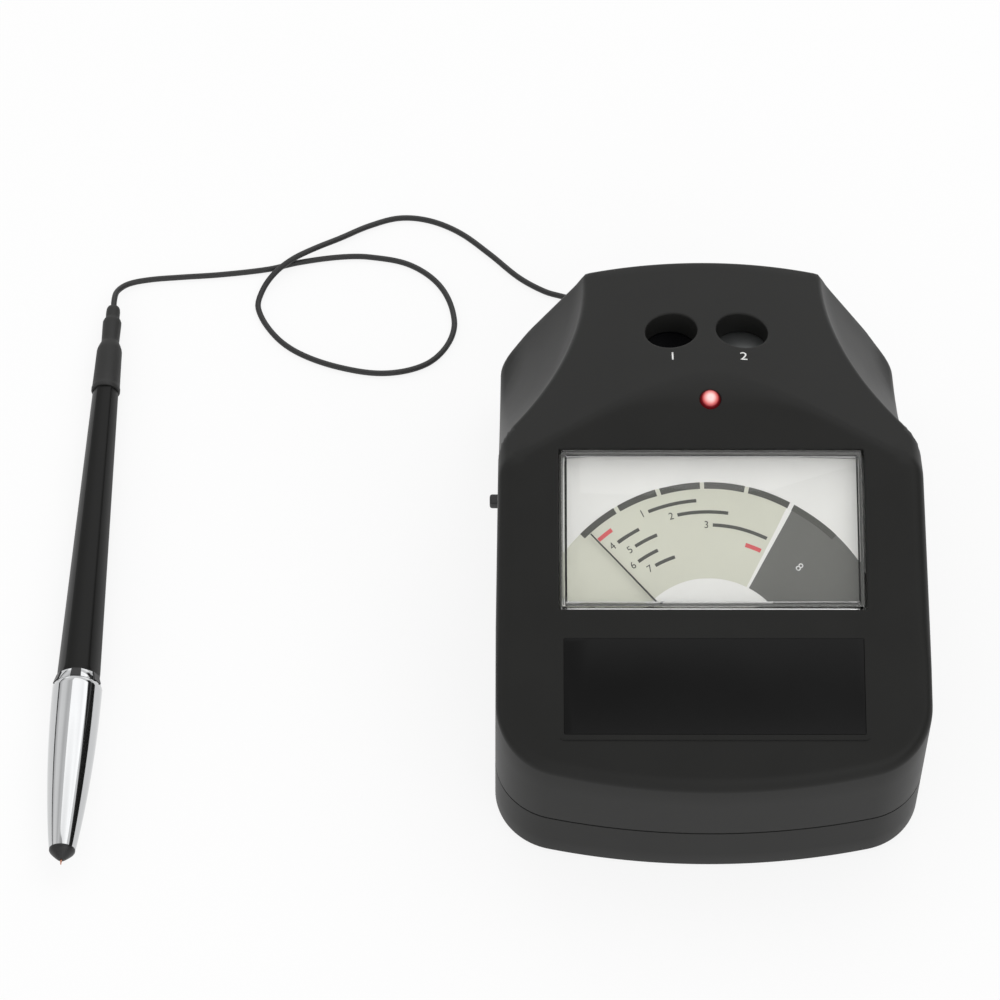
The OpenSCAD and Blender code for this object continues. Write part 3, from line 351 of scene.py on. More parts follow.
# %% Helpers for node trees
def node_tree(name, inputs):
    """A Geometry Nodes tree with named inputs, and its own start and end nodes."""
    tree = bpy.data.node_groups.new(name, "GeometryNodeTree")
    face = tree.interface
    face.new_socket("Geometry", in_out="INPUT", socket_type="NodeSocketGeometry")
    for label, kind in inputs.items():
        face.new_socket(label, in_out="INPUT", socket_type=kind)
    face.new_socket("Geometry", in_out="OUTPUT", socket_type="NodeSocketGeometry")
    return tree, add(tree, "NodeGroupInput").outputs, add(tree, "NodeGroupOutput")


def end_tree(tree, geometry, given, made):
    """Realize the instances and set the material, because the export drops instances."""
    real = add(tree, "GeometryNodeRealizeInstances", {"Geometry": geometry})
    done = add(tree, "GeometryNodeSetMaterial", {"Geometry": real.outputs[0],
                                                 "Material": given["Material"]})
    tree.links.new(done.outputs[0], made.inputs[0])


def grow(piece, tree, values):
    """Run a tree on a piece with its inputs set, and keep the result as a plain mesh."""
    modifier = piece.modifiers.new(tree.name, "NODES")
    modifier.node_group = tree
    for item in tree.interface.items_tree:
        if item.item_type == "SOCKET" and item.in_out == "INPUT" and item.name in values:
            modifier[item.identifier] = values[item.name]
    return keep_modifiers(piece)


# %% Sweep tree and the cord
CORD_SIDES = 12
sweep, given, made = node_tree("round_sweep", {"Radius": "NodeSocketFloat",
                                               "Sides": "NodeSocketInt",
                                               "Material": "NodeSocketMaterial"})
line_of = add(sweep, "GeometryNodeMeshToCurve", {"Mesh": given["Geometry"]})
ring_of = add(sweep, "GeometryNodeCurvePrimitiveCircle", {"Resolution": given["Sides"],
                                                          "Radius": given["Radius"]})
tube_of = add(sweep, "GeometryNodeCurveToMesh", {"Curve": line_of.outputs[0],
                                                 "Profile Curve": ring_of.outputs[0],
                                                 "Fill Caps": True})
smooth_of = add(sweep, "GeometryNodeSetShadeSmooth", {"Geometry": tube_of.outputs[0]})
end_tree(sweep, smooth_of.outputs[0], given, made)

cord_mesh = bpy.data.meshes.new("cord_of_probe")
cord_mesh.from_pydata([p * MM for p in cord_line],
                      [(i, i + 1) for i in range(len(cord_line) - 1)], [])
cord = bpy.data.objects.new("cord_of_probe", cord_mesh)
scene.collection.objects.link(cord)
grow(cord, sweep, {"Radius": CORD_D / 2 * MM, "Sides": CORD_SIDES, "Material": cord_sheath})
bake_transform(cord)
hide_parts("probe_cord")
print(cord.name, len(cord.data.polygons), "faces from housing to pen")

# %% [markdown]
# The upper housing is one moulding with four forms that meet: the sloping panel, the crowned hump
# that falls to the back, and a hollow scoop in each rear side. Real mouldings have no sharp
# corners, so each form is written as a distance, and the forms are joined with rounded meetings:
# a wide one along the crest, a tight one beside each scoop and a soft one around the rim. The
# height of the skin at any place is then found by halving an interval, which needs no formula.

# %% Distances of the housing's forms
HALF_W, FRONT_Y, REAR_Y, SEAM_Z, BASE_Z = 57, -77, 77, 19, 1.0
PANEL_Z, CREST_Y = 43.7, 26.4
TILT, FALL, LEAN = (math.radians(a) for a in (18, 13.9, 30.5))
PANEL_RUN = (CREST_Y - FRONT_Y) / math.cos(TILT)
CREST_Z = PANEL_Z + PANEL_RUN * math.sin(TILT)
CROWN_R, CROWN_TURN = 108, math.radians(16.1)
SCOOP_X, SCOOP_Y, SCOOP_R = HALF_W + 70, REAR_Y + 4.5, 96.6
SCOOP_TOP_Z, SCOOP_CURVE = 72, 37
LEDGE_Z, LEDGE_EASE = 21.0, 9


def rounded_meet(a, b, r):
    """Distance to where two forms both hold, with their meeting edge rounded by r."""
    return (np.minimum(-r, np.maximum(a, b))
            + np.hypot(np.maximum(a + r, 0), np.maximum(b + r, 0)))


def soft_meet(a, b, width):
    """The larger of two distances, eased over a width where they are nearly equal."""
    return np.maximum(a, b) + np.maximum(width - np.abs(a - b), 0) ** 2 / (4 * width)


def above_panel(y, z):
    return (z - PANEL_Z) * math.cos(TILT) - (y - FRONT_Y) * math.sin(TILT)


def above_crown(x, y, z):
    """Distance above the crown, which is round in the middle and straight at its sides."""
    rise = (y - CREST_Y) * math.sin(FALL) + (z - CREST_Z) * math.cos(FALL) + CROWN_R
    side = np.abs(x) * math.sin(CROWN_TURN) + rise * math.cos(CROWN_TURN)
    return np.where(np.abs(x) > rise * math.tan(CROWN_TURN), side, np.hypot(x, rise)) - CROWN_R


def inside_scoop(x, y, z):
    """Depth inside a scoop: upright above, curved below that, then leaning out to a ledge."""
    out = np.hypot(np.abs(x) - SCOOP_X, y - SCOOP_Y) - (SCOOP_R - SCOOP_CURVE)
    up = z - SCOOP_TOP_Z
    on_line = -out * math.sin(LEAN) - up * math.cos(LEAN) > 0
    line = SCOOP_CURVE - out * math.cos(LEAN) + up * math.sin(LEAN)
    curve = np.where(up > 0, SCOOP_CURVE - out, SCOOP_CURVE - np.hypot(out, up))
    depth = np.where(on_line, line, curve)
    return -soft_meet(-depth, LEDGE_Z - z, LEDGE_EASE)


print("crest", round(CREST_Z, 1), "mm high")

# %% Height of the skin
CREASE_ROUND = 1.1
CREST_EASE, CREST_EASE_MORE, CREST_EASE_W = 0.8, 2.4, 16
FAR_IN, SEARCH_TOP, HALVINGS = 99.0, 100.0, 40


def above_skin(x, y, z, inset, rim):
    """Distance above the moulded skin, at a place some way in from the outline."""
    crest_ease = CREST_EASE + CREST_EASE_MORE * np.exp(-(x / CREST_EASE_W) ** 2)
    roof = soft_meet(above_panel(y, z), above_crown(x, y, z), crest_ease)
    roof = rounded_meet(roof, inside_scoop(x, y, z), CREASE_ROUND)
    return rounded_meet(roof, -inset + 0 * z, rim)


def skin_z(x, y, inset=FAR_IN, rim=1.0):
    """Height of the skin at places x, y, found by halving."""
    x, y = np.asarray(x, float), np.asarray(y, float)
    low, high = np.full(x.shape, float(BASE_Z)), np.full(x.shape, SEARCH_TOP)
    for _ in range(HALVINGS):
        middle = (low + high) / 2
        over = above_skin(x, y, middle, inset, rim) > 0
        high, low = np.where(over, middle, high), np.where(over, low, middle)
    return low


print("skin at the crest", round(float(skin_z([0.0], [CREST_Y])[0]), 1), "mm high")

# %% Outline of the housing, seen from above
BOW_R, FRONT_CORNER, REAR_CORNER = 200, 18, 9
TAPER, TAPER_FROM = 1.5, -35
BOW_STEP, FRONT_STEP, REAR_STEP = 0.4, 4, 9
SIDE_STEP, BACK_STEP = 1.0, 1.2


def polar(r, degrees):
    """A place at a radius and an angle."""
    turn = math.radians(degrees)
    return r * math.cos(turn), r * math.sin(turn)


def arc(centre, r, start, stop, step):
    """Points and outward directions on an arc, angles in degrees."""
    count = max(1, round(abs(stop - start) / step))
    ways = [polar(1, start + (stop - start) * i / count) for i in range(count + 1)]
    return [(centre[0] + r * c, centre[1] + r * s, c, s) for c, s in ways]


def between(a, b, count):
    """Points that cut the line from a to b into equal parts, without its ends."""
    return [(a[0] + (b[0] - a[0]) * i / count, a[1] + (b[1] - a[1]) * i / count)
            for i in range(1, count)]


def straight(a, b, way, step):
    """Points from a to b, without the ends, all facing one way."""
    return [(*p, *way) for p in between(a, b, max(2, round(math.dist(a, b) / step)))]


bow_centre, taper_start = (0, FRONT_Y + BOW_R), (HALF_W, TAPER_FROM)
corner_x = HALF_W - FRONT_CORNER
corner_y = bow_centre[1] - math.sqrt((BOW_R - FRONT_CORNER) ** 2 - corner_x ** 2)
touch = math.degrees(math.atan2(corner_y - bow_centre[1], corner_x))
rear_centre = (HALF_W - TAPER - REAR_CORNER, REAR_Y - REAR_CORNER)
right_half = (arc(bow_centre, BOW_R, -90, touch, BOW_STEP)[1:]
              + arc((corner_x, corner_y), FRONT_CORNER, touch, 0, FRONT_STEP)[1:]
              + straight((HALF_W, corner_y), taper_start, (1, 0), SIDE_STEP)
              + [(*taper_start, 1, 0)]
              + straight(taper_start, (HALF_W - TAPER, rear_centre[1]), (1, 0), SIDE_STEP)
              + arc(rear_centre, REAR_CORNER, 0, 90, REAR_STEP)
              + straight((rear_centre[0], REAR_Y), (0, REAR_Y), (0, 1), BACK_STEP))
left_half = [(-x, y, -nx, ny) for x, y, nx, ny in reversed(right_half)]
outline = np.array([(0, FRONT_Y, 0, -1)] + right_half + [(0, REAR_Y, 0, 1)] + left_half)
print("outline points:", len(outline))


def inset_outline(inset):
    """The outline drawn in by a distance, one for all or one for each point."""
    inset = np.asarray(inset, float).reshape(-1, 1)
    return outline[:, :2] - inset * outline[:, 2:]


def level_ring(inset, z):
    """The outline drawn in by a distance, at a height."""
    return np.column_stack([inset_outline(inset), np.full(len(outline), z)])


# %% Frames on the panel and on the hump
def on_panel(u, s, n=0.0):
    """A place across the panel, up its slope and out of it."""
    return (u, FRONT_Y + s * math.cos(TILT) - n * math.sin(TILT),
            PANEL_Z + s * math.sin(TILT) + n * math.cos(TILT))


def on_hump(u, s, n):
    """A place across the hump, behind the crest and out of the hump."""
    return (u, CREST_Y + s * math.cos(FALL) + n * math.sin(FALL),
            CREST_Z - s * math.sin(FALL) + n * math.cos(FALL))


def crown_drop(u):
    """How far the crown lies below the hump's flat, across it."""
    return math.sqrt(CROWN_R ** 2 - u * u) - CROWN_R


CORNER_STEPS = 5


def rectangle(w, h, corner, grow=0.0, cuts=(36, 18)):
    """A rounded rectangle about the origin, with its long and short edges cut into equal parts."""
    r = corner + grow
    x, y = w / 2 - corner, h / 2 - corner
    arcs = [[p[:2] for p in arc(centre, r, start, start + 90, 90 / CORNER_STEPS)]
            for centre, start in (((x, -y), -90), ((x, y), 0), ((-x, y), 90), ((-x, -y), 180))]
    points = []
    for k, turn in enumerate(arcs):
        points += turn + between(turn[-1], arcs[(k + 1) % 4][0], cuts[(k + 1) % 2])
    return points


def circle(r, count):
    return [polar(r, 360 * i / count) for i in range(count)]


print("top of the panel", [round(c, 1) for c in on_panel(0, PANEL_RUN)])

# %% [markdown]
# The skin is a triangle mesh over the outline: rings that follow the rim, lines that follow each
# crease, and a coarse grid between. Constrained triangulation keeps the outline and the edges of
# the openings. Each opening then gets a small rounded lip and a wall, the rim gets its upright
# wall down to the parting line, and Solidify turns the skin into a moulding with a real thickness.

# %% Openings in the panel and the hump
WIN_W, WIN_H, WIN_AT, WIN_CORNER, WIN_LIP = 80.6, 43.7, 69.5, 0.5, 0.35
PLATE_W, PLATE_H, PLATE_AT, PLATE_T, PLATE_LIP = 78.4, 25.5, 27.0, 0.5, 0.06
LED_D, LED_AT, LED_LIP = 5.5, PANEL_RUN - 3.6, 0.3
WELL_D, WELL_DEPTH, WELL_X, WELL_AT, WELL_LIP = 14, 7, 9.55, 23.3, 0.4
SEAT, RECESS_CORNER, WALL_DOWN = 0.06, 0.4, 2.4
PLATE_PLAY, DISC_PLAY = 0.02, 0.05
# A lip's section: how far out and how far down, as shares of its radius.
LIP = [(2.2, 0)] + [(1 - s, 1 - c) for c, s in (polar(1, a) for a in (0, 30, 60, 90))]


def panel_opening(shape, s, lip, depth):
    """Rings of an opening in the panel, from its lip down its wall; shape(grow) is its outline."""
    def ring(grow, down):
        flat = np.array([on_panel(u, s + v) for u, v in shape(grow)])
        flat[:, 2] = skin_z(flat[:, 0], flat[:, 1]) - down
        return flat.tolist()
    return [ring(lip * grow, lip * down) for grow, down in LIP] + [ring(0, depth)]


def well_opening(side):
    """Rings of a test well: its lip follows the crown, and its floor is flat."""
    def ring(grow, down):
        return [on_hump(side * WELL_X + u, WELL_AT + v, down(side * WELL_X + u))
                for u, v in circle(WELL_D / 2 + grow, 56)]
    rings = [ring(WELL_LIP * grow, lambda u: crown_drop(u) - WELL_LIP * down)
             for grow, down in LIP]
    return rings + [ring(0, lambda u: DISC_PLAY - WELL_DEPTH)]


openings = {
    "window": panel_opening(lambda grow: rectangle(WIN_W, WIN_H, WIN_CORNER, grow), WIN_AT,
                            WIN_LIP, WALL_DOWN),
    "plate": panel_opening(lambda grow: rectangle(PLATE_W + 2 * SEAT, PLATE_H + 2 * SEAT,
                                                  RECESS_CORNER, grow),
                           PLATE_AT, PLATE_LIP, PLATE_T + PLATE_PLAY),
    "lamp": panel_opening(lambda grow: circle(LED_D / 2 + SEAT + grow, 32), LED_AT, LED_LIP,
                          WALL_DOWN),
    "left well": well_opening(-1),
    "right well": well_opening(1),
}
print("openings:", ", ".join(openings))

# %% Rounded rim of the skin
EDGE_IN = 0.01
RIM_CLEAR, RIM_SHARE, RIM_LEAST = 0.4, 0.8, 0.8
# The largest radius of the rim, at places along Y.
RIM_Y, RIM_MOST = [-45, -35, 10, 45, 55], [2.8, 3.8, 3.8, 2.2, 1.3]
RIM_TURNS = (0, 12, 24, 38, 54, 72, 90)
rim_z = skin_z(*inset_outline(EDGE_IN).T)
rim_r = np.clip((rim_z - SEAM_Z - RIM_CLEAR) * RIM_SHARE, RIM_LEAST,
                np.interp(outline[:, 1], RIM_Y, RIM_MOST))
rim_rings = []
for drawn_in in (rim_r * (1 - polar(1, a)[0]) for a in RIM_TURNS):
    flat = inset_outline(drawn_in)
    rim_rings.append(np.column_stack([flat, skin_z(*flat.T, drawn_in, rim_r)]))
print("rim radius from", round(rim_r.min(), 2), "to", round(rim_r.max(), 2), "mm")


# %% Places that the skin is drawn through
def within(loop, x, y):
    """Which places lie inside a closed loop."""
    loop = np.asarray(loop)[:, :2]
    inside = np.zeros(len(x), bool)
    for (ax, ay), (bx, by) in zip(loop, np.roll(loop, -1, axis=0)):
        crosses = (ay > y) != (by > y)
        if ay != by:
            inside ^= crosses & (x < (bx - ax) * (y - ay) / (by - ay) + ax)
    return inside


SCOOP_TURNS, SCOOP_REACH = np.radians(np.arange(182.6, 232, 0.5)), np.arange(60, 104, 0.05)
# Steps across a crease, from well inside the scoop to just outside it, finest at the edge.
CREASE_STEPS = [-34, -29, -24, -20, -16, -13, -10, -8, -6, -4.5, -3.3, -2.3, -1.5, -0.95, -0.6,
                -0.36, -0.2, -0.08, 0.05, 0.2, 0.4, 0.7, 1.1, 1.8, 2.8]
CREST_X, CREST_STEPS = np.arange(-48, 48.1, 1.5), np.arange(-7, 7.1, 1.0)
CREST_REACH = np.arange(-30, CREST_Y + 8, 0.1)
GRID_X, GRID_Y, GRID_SHIFT = np.arange(-57, 57, 3.0), np.arange(-75, 76, 2.6), 1.5
GRID_CLEAR = 1.25
spots = []
for side in (-1, 1):
    for turn in SCOOP_TURNS:
        c, s = math.cos(turn), math.sin(turn)
        x, y = SCOOP_X + SCOOP_REACH * c, SCOOP_Y + SCOOP_REACH * s
        roof = skin_z(x, y)
        gap = np.maximum(above_panel(y, roof), above_crown(x, y, roof)) - inside_scoop(x, y, roof)
        edge = SCOOP_REACH[np.argmax(gap > 0)]
        spots += [(side * (SCOOP_X + (edge + d) * c), SCOOP_Y + (edge + d) * s)
                  for d in CREASE_STEPS]
for x in CREST_X:
    z = skin_z(np.full(CREST_REACH.shape, x), CREST_REACH)
    apart = np.abs(above_panel(CREST_REACH, z) - above_crown(x, CREST_REACH, z))
    spots += [(x, CREST_REACH[np.argmin(apart)] + d) for d in CREST_STEPS]
spots += [(x + (GRID_SHIFT if row % 2 else 0), y) for row, y in enumerate(GRID_Y) for x in GRID_X]

spots = np.array(spots)
spots = spots[within(inset_outline(rim_r * GRID_CLEAR), *spots.T)]
for rings in openings.values():
    spots = spots[~within(rings[0], *spots.T)]
print("skin places:", len(spots))


# %% Helpers for rings of points
def extend(points, ring):
    """Add a ring of new points, and give its indices."""
    points += [tuple(p) for p in ring]
    return list(range(len(points) - len(ring), len(points)))


def strips(rings):
    """Quads between rings of indices, from the outer ring to the inner."""
    return [(a[i - 1], a[i], b[i], b[i - 1]) for a, b in zip(rings, rings[1:])
            for i in range(len(a))]


def capped(rings):
    """Quads between rings of indices, with a face on the first ring and on the last."""
    return strips(rings) + [tuple(reversed(rings[0])), tuple(rings[-1])]


def ring_piece(name, loops, material, smooth_angle=40, tube=False):
    """A piece drawn through loops of points, capped at its ends or closed into a tube."""
    points = []
    rings = [extend(points, loop) for loop in loops]
    faces = strips(rings + rings[:1]) if tube else capped(rings)
    return mesh_piece(name, points, faces, material, smooth_angle)


def skin_mesh(rim, holes, places, places_z):
    """Triangles inside a rim ring and outside hole rings: points, faces, each ring's indices."""
    flat, heights, edges, starts = [], [], [], []
    for ring in [rim] + holes:
        start, count = len(flat), len(ring)
        starts.append(start)
        edges += [(start + i, start + (i + 1) % count) for i in range(count)]
        flat += [Vector(p[:2]) for p in ring]
        heights += [p[2] for p in ring]
    flat += [Vector(p) for p in places]
    heights += list(places_z)
    found, _, triangles, origin, _, _ = delaunay_2d_cdt(flat, edges, [], 1, 1e-5)
    points = [(p.x, p.y, heights[ids[0]]) for p, ids in zip(found, origin)]
    index = {i: k for k, ids in enumerate(origin) for i in ids}
    rings = [[index[s + i] for i in range(len(ring))] for s, ring in zip(starts, [rim] + holes)]
    middles = np.array([np.mean([points[i][:2] for i in t], axis=0) for t in triangles])
    keep = np.ones(len(triangles), bool)
    for ring in holes:
        keep &= ~within(ring, *middles.T)
    return points, [tuple(t) for t, k in zip(triangles, keep) if k], rings


# %% Skin and walls of the upper housing
CHAMFER, GROOVE, SHELL_T = 0.3, 0.9, 1.6
holes = [opening[0] for opening in openings.values()]
points, faces, rings = skin_mesh(rim_rings[-1], holes, spots, skin_z(*spots.T))
wall_top, wall_foot = rim_rings[0][:, 2], SEAM_Z + CHAMFER
wall = [level_ring(GROOVE, SEAM_Z)]
wall += [level_ring(0, wall_foot + (wall_top - wall_foot) * t) for t in (0, 0.34, 0.67)]
faces += strips([extend(points, ring) for ring in wall + rim_rings[:-1]] + [rings[0]])
for first, (name, opening) in zip(rings[1:], openings.items()):
    lower = [extend(points, ring) for ring in opening[1:]]
    faces += strips([first] + lower)
    if name == "plate":
        faces.append(tuple(lower[-1]))
upper = mesh_piece("upper_housing", points, faces, satin_abs, EASED)
shell = upper.modifiers.new("thickness", "SOLIDIFY")
shell.thickness, shell.offset = SHELL_T * MM, -1
keep_modifiers(upper)
print("skin with thickness:", len(upper.data.polygons), "faces")


# %% Slot for the switch
def block(points, faces, low, high):
    """Add a plain block between two corners."""
    (ax, ay, az), (bx, by, bz) = low, high
    faces += capped([extend(points, [(ax, ay, z), (bx, ay, z), (bx, by, z), (ax, by, z)])
                     for z in (az, bz)])


def cut(piece, cutter_points, cutter_faces):
    """Take a cutter's shape out of a piece."""
    cutter = mesh_piece("cutter", cutter_points, cutter_faces, small_abs)
    boolean = piece.modifiers.new("cut", "BOOLEAN")
    boolean.operation, boolean.object, boolean.solver = "DIFFERENCE", cutter, "EXACT"
    keep_modifiers(piece)
    bpy.data.objects.remove(cutter)
    soften(piece, EASED)


SLOT_LOW, SLOT_HIGH = (-60, 24.2, 20.2), (-52, 31.8, 23.2)
points, faces = [], []
block(points, faces, SLOT_LOW, SLOT_HIGH)
cut(upper, points, faces)
join_body(upper, "housing", "shell_black", "top_shell")

# %% [markdown]
# The tray is the same outline turned into a shallow pan: a rounded lower edge, a flat floor with
# the opening of the battery bay and four sunk screw seats, and a small chamfer where it meets the
# upper half, which makes the fine dark parting line. The bay inside is a plain box, open below.

# %% Tray
FOOT_ROUND, WALL_T, FLOOR_TOP, FLOOR_ROUND = 1.2, 2.4, 3.9, 0.6
TRAY_TOP, WALL_RINGS = SEAM_Z - 0.01, (13, 8)
pan = [(WALL_T + FLOOR_ROUND, FLOOR_TOP), (WALL_T, FLOOR_TOP + FLOOR_ROUND), (WALL_T, TRAY_TOP),
       (GROOVE, TRAY_TOP), (0, SEAM_Z - CHAMFER)] + [(0, z) for z in WALL_RINGS]
pan += [(FOOT_ROUND * (1 - c), BASE_Z + FOOT_ROUND * (1 - s))
        for c, s in (polar(1, a) for a in (0, 18, 36, 54, 72, 90))]
tray = ring_piece("lower_tray", [level_ring(inset, z)[::-1] for inset, z in pan], tray_abs, EASED)
print("pan:", len(tray.data.polygons), "faces")


# %% Openings of the tray
def pillar(points, faces, centre, r, low, high, axis):
    """Add a round bar along Z or Y between two places."""
    def place(u, v, w):
        upright_place = (centre[0] + u, centre[1] + v, w)
        return upright_place if axis == "Z" else (centre[0] + u, w, centre[1] - v)
    faces += capped([extend(points, [place(u, v, w) for u, v in circle(r, 40)])
                     for w in (low, high)])


BAY_X, BAY_FRONT, BAY_REAR = 16.95, 26.6, 78
SCREW_AT, SCREW_SEAT_R = [(x, y) for x in (-48.5, 48.5) for y in (-44, 56)], 3.0
GLAND_AT, SOCKET_AT, INLET_R = (-28, 11), (28, 11), 4.25
BAY_OVER, SEAT_OVER = 0.05, 1
INLET_FROM, INLET_TO = REAR_Y - 6, REAR_Y + 4
points, faces = [], []
block(points, faces, (-BAY_X, BAY_FRONT, 0), (BAY_X, BAY_REAR, FLOOR_TOP + BAY_OVER))
for place in SCREW_AT:
    pillar(points, faces, place, SCREW_SEAT_R, 0, FLOOR_TOP + SEAT_OVER, "Z")
for place in (GLAND_AT, SOCKET_AT):
    pillar(points, faces, place, INLET_R, INLET_FROM, INLET_TO, "Y")
cut(tray, points, faces)
print("tray with openings:", len(tray.data.polygons), "faces")


# %% Battery bay
def merge(piece, *others):
    """Join other pieces' meshes into one piece."""
    work = bmesh.new()
    for part in (piece, *others):
        work.from_mesh(part.data)
    work.to_mesh(piece.data)
    work.free()
    for part in others:
        bpy.data.objects.remove(part)
    return piece


BAY_T, BAY_TOP, BAY_END = 1.5, 14.5, 74.5
bay_out, bay_start = BAY_X + BAY_T, BAY_FRONT - BAY_T
points, faces = [], []
for low, high in (((-bay_out, bay_start, FLOOR_TOP), (bay_out, BAY_FRONT, BAY_TOP)),
                  ((-bay_out, BAY_FRONT, FLOOR_TOP), (-BAY_X, BAY_END, BAY_TOP)),
                  ((BAY_X, BAY_FRONT, FLOOR_TOP), (bay_out, BAY_END, BAY_TOP)),
                  ((-bay_out, bay_start, BAY_TOP), (bay_out, BAY_END, BAY_TOP + BAY_T))):
    block(points, faces, low, high)
merge(tray, mesh_piece("bay_walls", points, faces, tray_abs, EASED))
join_body(tray, "housing", "tray_black", "bottom_shell")

# %% [markdown]
# The meter's cover is a clear moulded lid: a flat top with a bevelled edge and thin walls, so its
# rim shows a few bright and dark lines where light bends through the corners. Clear acrylic bends
# light with an index of 1.49. A ray that only asks for shadow passes straight through it, because
# otherwise the card behind it would stay dark in a short render. Under the cover lies a grey frame
# of painted shade, which stands in for the light and shade seen through the cover's clear walls.

# %% Clear acrylic and the meter's cover
def clear_acrylic(name):
    """Polished acrylic, moulded clear: sharp reflections, and shadow rays pass through."""
    material = finish(name, "#ffffff", 0.02, ior=1.49, grain=8.0, depth=0.0003, rough_vary=0.01,
                      vary=0.0)
    tree = material.node_tree
    surface = tree.nodes["Principled BSDF"]
    surface.inputs["Transmission Weight"].default_value = 1.0
    path = add(tree, "ShaderNodeLightPath")
    through = add(tree, "ShaderNodeBsdfTransparent")
    mix = add(tree, "ShaderNodeMixShader", {0: path.outputs["Is Shadow Ray"], 1: surface.outputs[0],
                                            2: through.outputs[0]})
    tree.links.new(mix.outputs[0], tree.nodes["Material Output"].inputs["Surface"])
    return material


def panel_loops(s, shapes):
    """Loops of points on the panel, each an outline and a height over the panel."""
    return [[on_panel(u, s + v, n) for u, v in shape] for shape, n in shapes]


COVER_W, COVER_H, COVER_CORNER = WIN_W - 1.2, WIN_H - 1.2, 0.5
COVER_TOP, COVER_LOW, COVER_T, COVER_INNER = 0.6, -4.0, 1.0, 0.5
# The bevel of the top edge: how far in, and how far down.
BEVEL = [(0, 0.3), (0.05, 0.14), (0.14, 0.05), (0.3, 0)]


def cover_outline(inset):
    """The cover's outline drawn in by a distance."""
    return rectangle(COVER_W - 2 * inset, COVER_H - 2 * inset, COVER_CORNER)


sections = [(COVER_T + COVER_INNER, COVER_TOP - COVER_T),
            (COVER_T, COVER_TOP - COVER_T - COVER_INNER), (COVER_T, COVER_LOW),
            (0, COVER_LOW)] + [(inset, COVER_TOP - down) for inset, down in BEVEL]
loops = panel_loops(WIN_AT, [(cover_outline(inset), n) for inset, n in sections])
cover = ring_piece("meter_cover", loops, clear_acrylic("clear_acrylic"), FIRM)
join_body(outward(cover), "housing", "clear_acrylic", "meter_window")

# %% Painted shade: a grey frame under the cover
RIM_TOP, RIM_LOW, RIM_PLAY, RIM_LAP = COVER_LOW - 0.05, -5.9, 0.4, 0.5
# A flat dull grey, painted shade: it stands in for the light and shade of the cover's clear walls.
frame_painted_shade = finish("grey_frame_painted_shade", "#565753", 0.5, grain=0.4, depth=0.004, vary=0.04)
wide = rectangle(WIN_W - RIM_PLAY, WIN_H - RIM_PLAY, COVER_CORNER)
narrow = cover_outline(COVER_T - RIM_LAP / 2)
loops = panel_loops(WIN_AT, [(wide, RIM_LOW), (wide, RIM_TOP), (narrow, RIM_TOP),
                             (narrow, RIM_LOW)])
# The frame is painted shade: its grey stands in for light and shade seen through the cover's walls.
case_rim = ring_piece("case_rim", loops, frame_painted_shade, FIRM, tube=True)
join_body(outward(case_rim), "housing", "case_black")

# %% [markdown]
# The dial is a white card printed in flat inks: a pale fan, a grey sector at the far end, a dark
# band in six segments along the top, and short bars with plain numbers. Each print is a thin
# closed patch just proud of the card, drawn about the needle's pivot and trimmed to the card. Inks
# on card are flat and dull; the dark one is a soft black, because the card shows through it.

# %% Inks and places on the dial
PIVOT_AT, DIAL_DEPTH, PRINT_T = 35.6, 6.0, 0.04
PIVOT_DROP = WIN_AT - PIVOT_AT
PRINT_SHIFT = (-0.7, 0.6)
CARD_HALF = (WIN_W / 2 + 0.6, WIN_H / 2 + 0.4)
INKS = {"beige_ink": ("#d8d9c9", 0.7, 0.02), "grey_ink": ("#666762", 0.6, 0.03),
        "dark_ink": ("#4a4b45", 0.6, 0.04), "red_ink": ("#d9575a", 0.6, 0.04),
        "white_ink": ("#eeeeec", 0.6, 0.02)}
beige_ink, grey_ink, dark_ink, red_ink, white_ink = (
    finish(name, colour, roughness, grain=0.3, depth=0.004, vary=vary)
    for name, (colour, roughness, vary) in INKS.items())


def on_dial(u, v, lift):
    """A place on the dial card, measured from the needle's pivot."""
    return on_panel(u, PIVOT_AT + v, -DIAL_DEPTH + lift)


def on_print(u, v, lift):
    """A place in the dial's print, which lies a little off the pivot."""
    return on_dial(u + PRINT_SHIFT[0], v + PRINT_SHIFT[1], lift)


def trim(shape):
    """A polygon about the print's middle, cut off at the card's edges."""
    (half_u, half_v), (shift_u, shift_v) = CARD_HALF, PRINT_SHIFT
    for axis, sign, limit in ((0, 1, half_u - shift_u), (0, -1, half_u + shift_u),
                              (1, 1, half_v + PIVOT_DROP - shift_v),
                              (1, -1, half_v - PIVOT_DROP + shift_v)):
        kept = []
        for a, b in zip(shape[-1:] + shape[:-1], shape):
            da, db = limit - sign * a[axis], limit - sign * b[axis]
            if da * db < 0:
                t = da / (da - db)
                kept.append((a[0] + (b[0] - a[0]) * t, a[1] + (b[1] - a[1]) * t))
            if db >= 0:
                kept.append(b)
        shape = kept
    return shape


print("inks:", ", ".join(INKS))


# %% Bars and bands of the dial
def flat_prism(points, shape, place, low, high):
    """Faces of a thin closed prism over a flat shape, between two heights."""
    return capped([extend(points, [place(u, v, lift) for u, v in shape]) for lift in (low, high)])


def ring_patch(near, far, left, right):
    """A patch between two radii and two angles, in degrees left of upright."""
    count = max(2, round(abs(left - right) / 1.5))
    turns = [90 + left + (right - left) * i / count for i in range(count + 1)]
    return [polar(near, a) for a in turns] + [polar(far, a) for a in reversed(turns)]


def print_patch(name, shapes, ink, lift=0.0):
    """Printed patches as thin closed prisms on the card."""
    points, faces = [], []
    for shape in shapes:
        faces += flat_prism(points, trim(shape), on_print, lift, lift + PRINT_T)
    join_body(outward(mesh_piece(name, points, faces, ink, CRISP)), "housing", "dial_card")


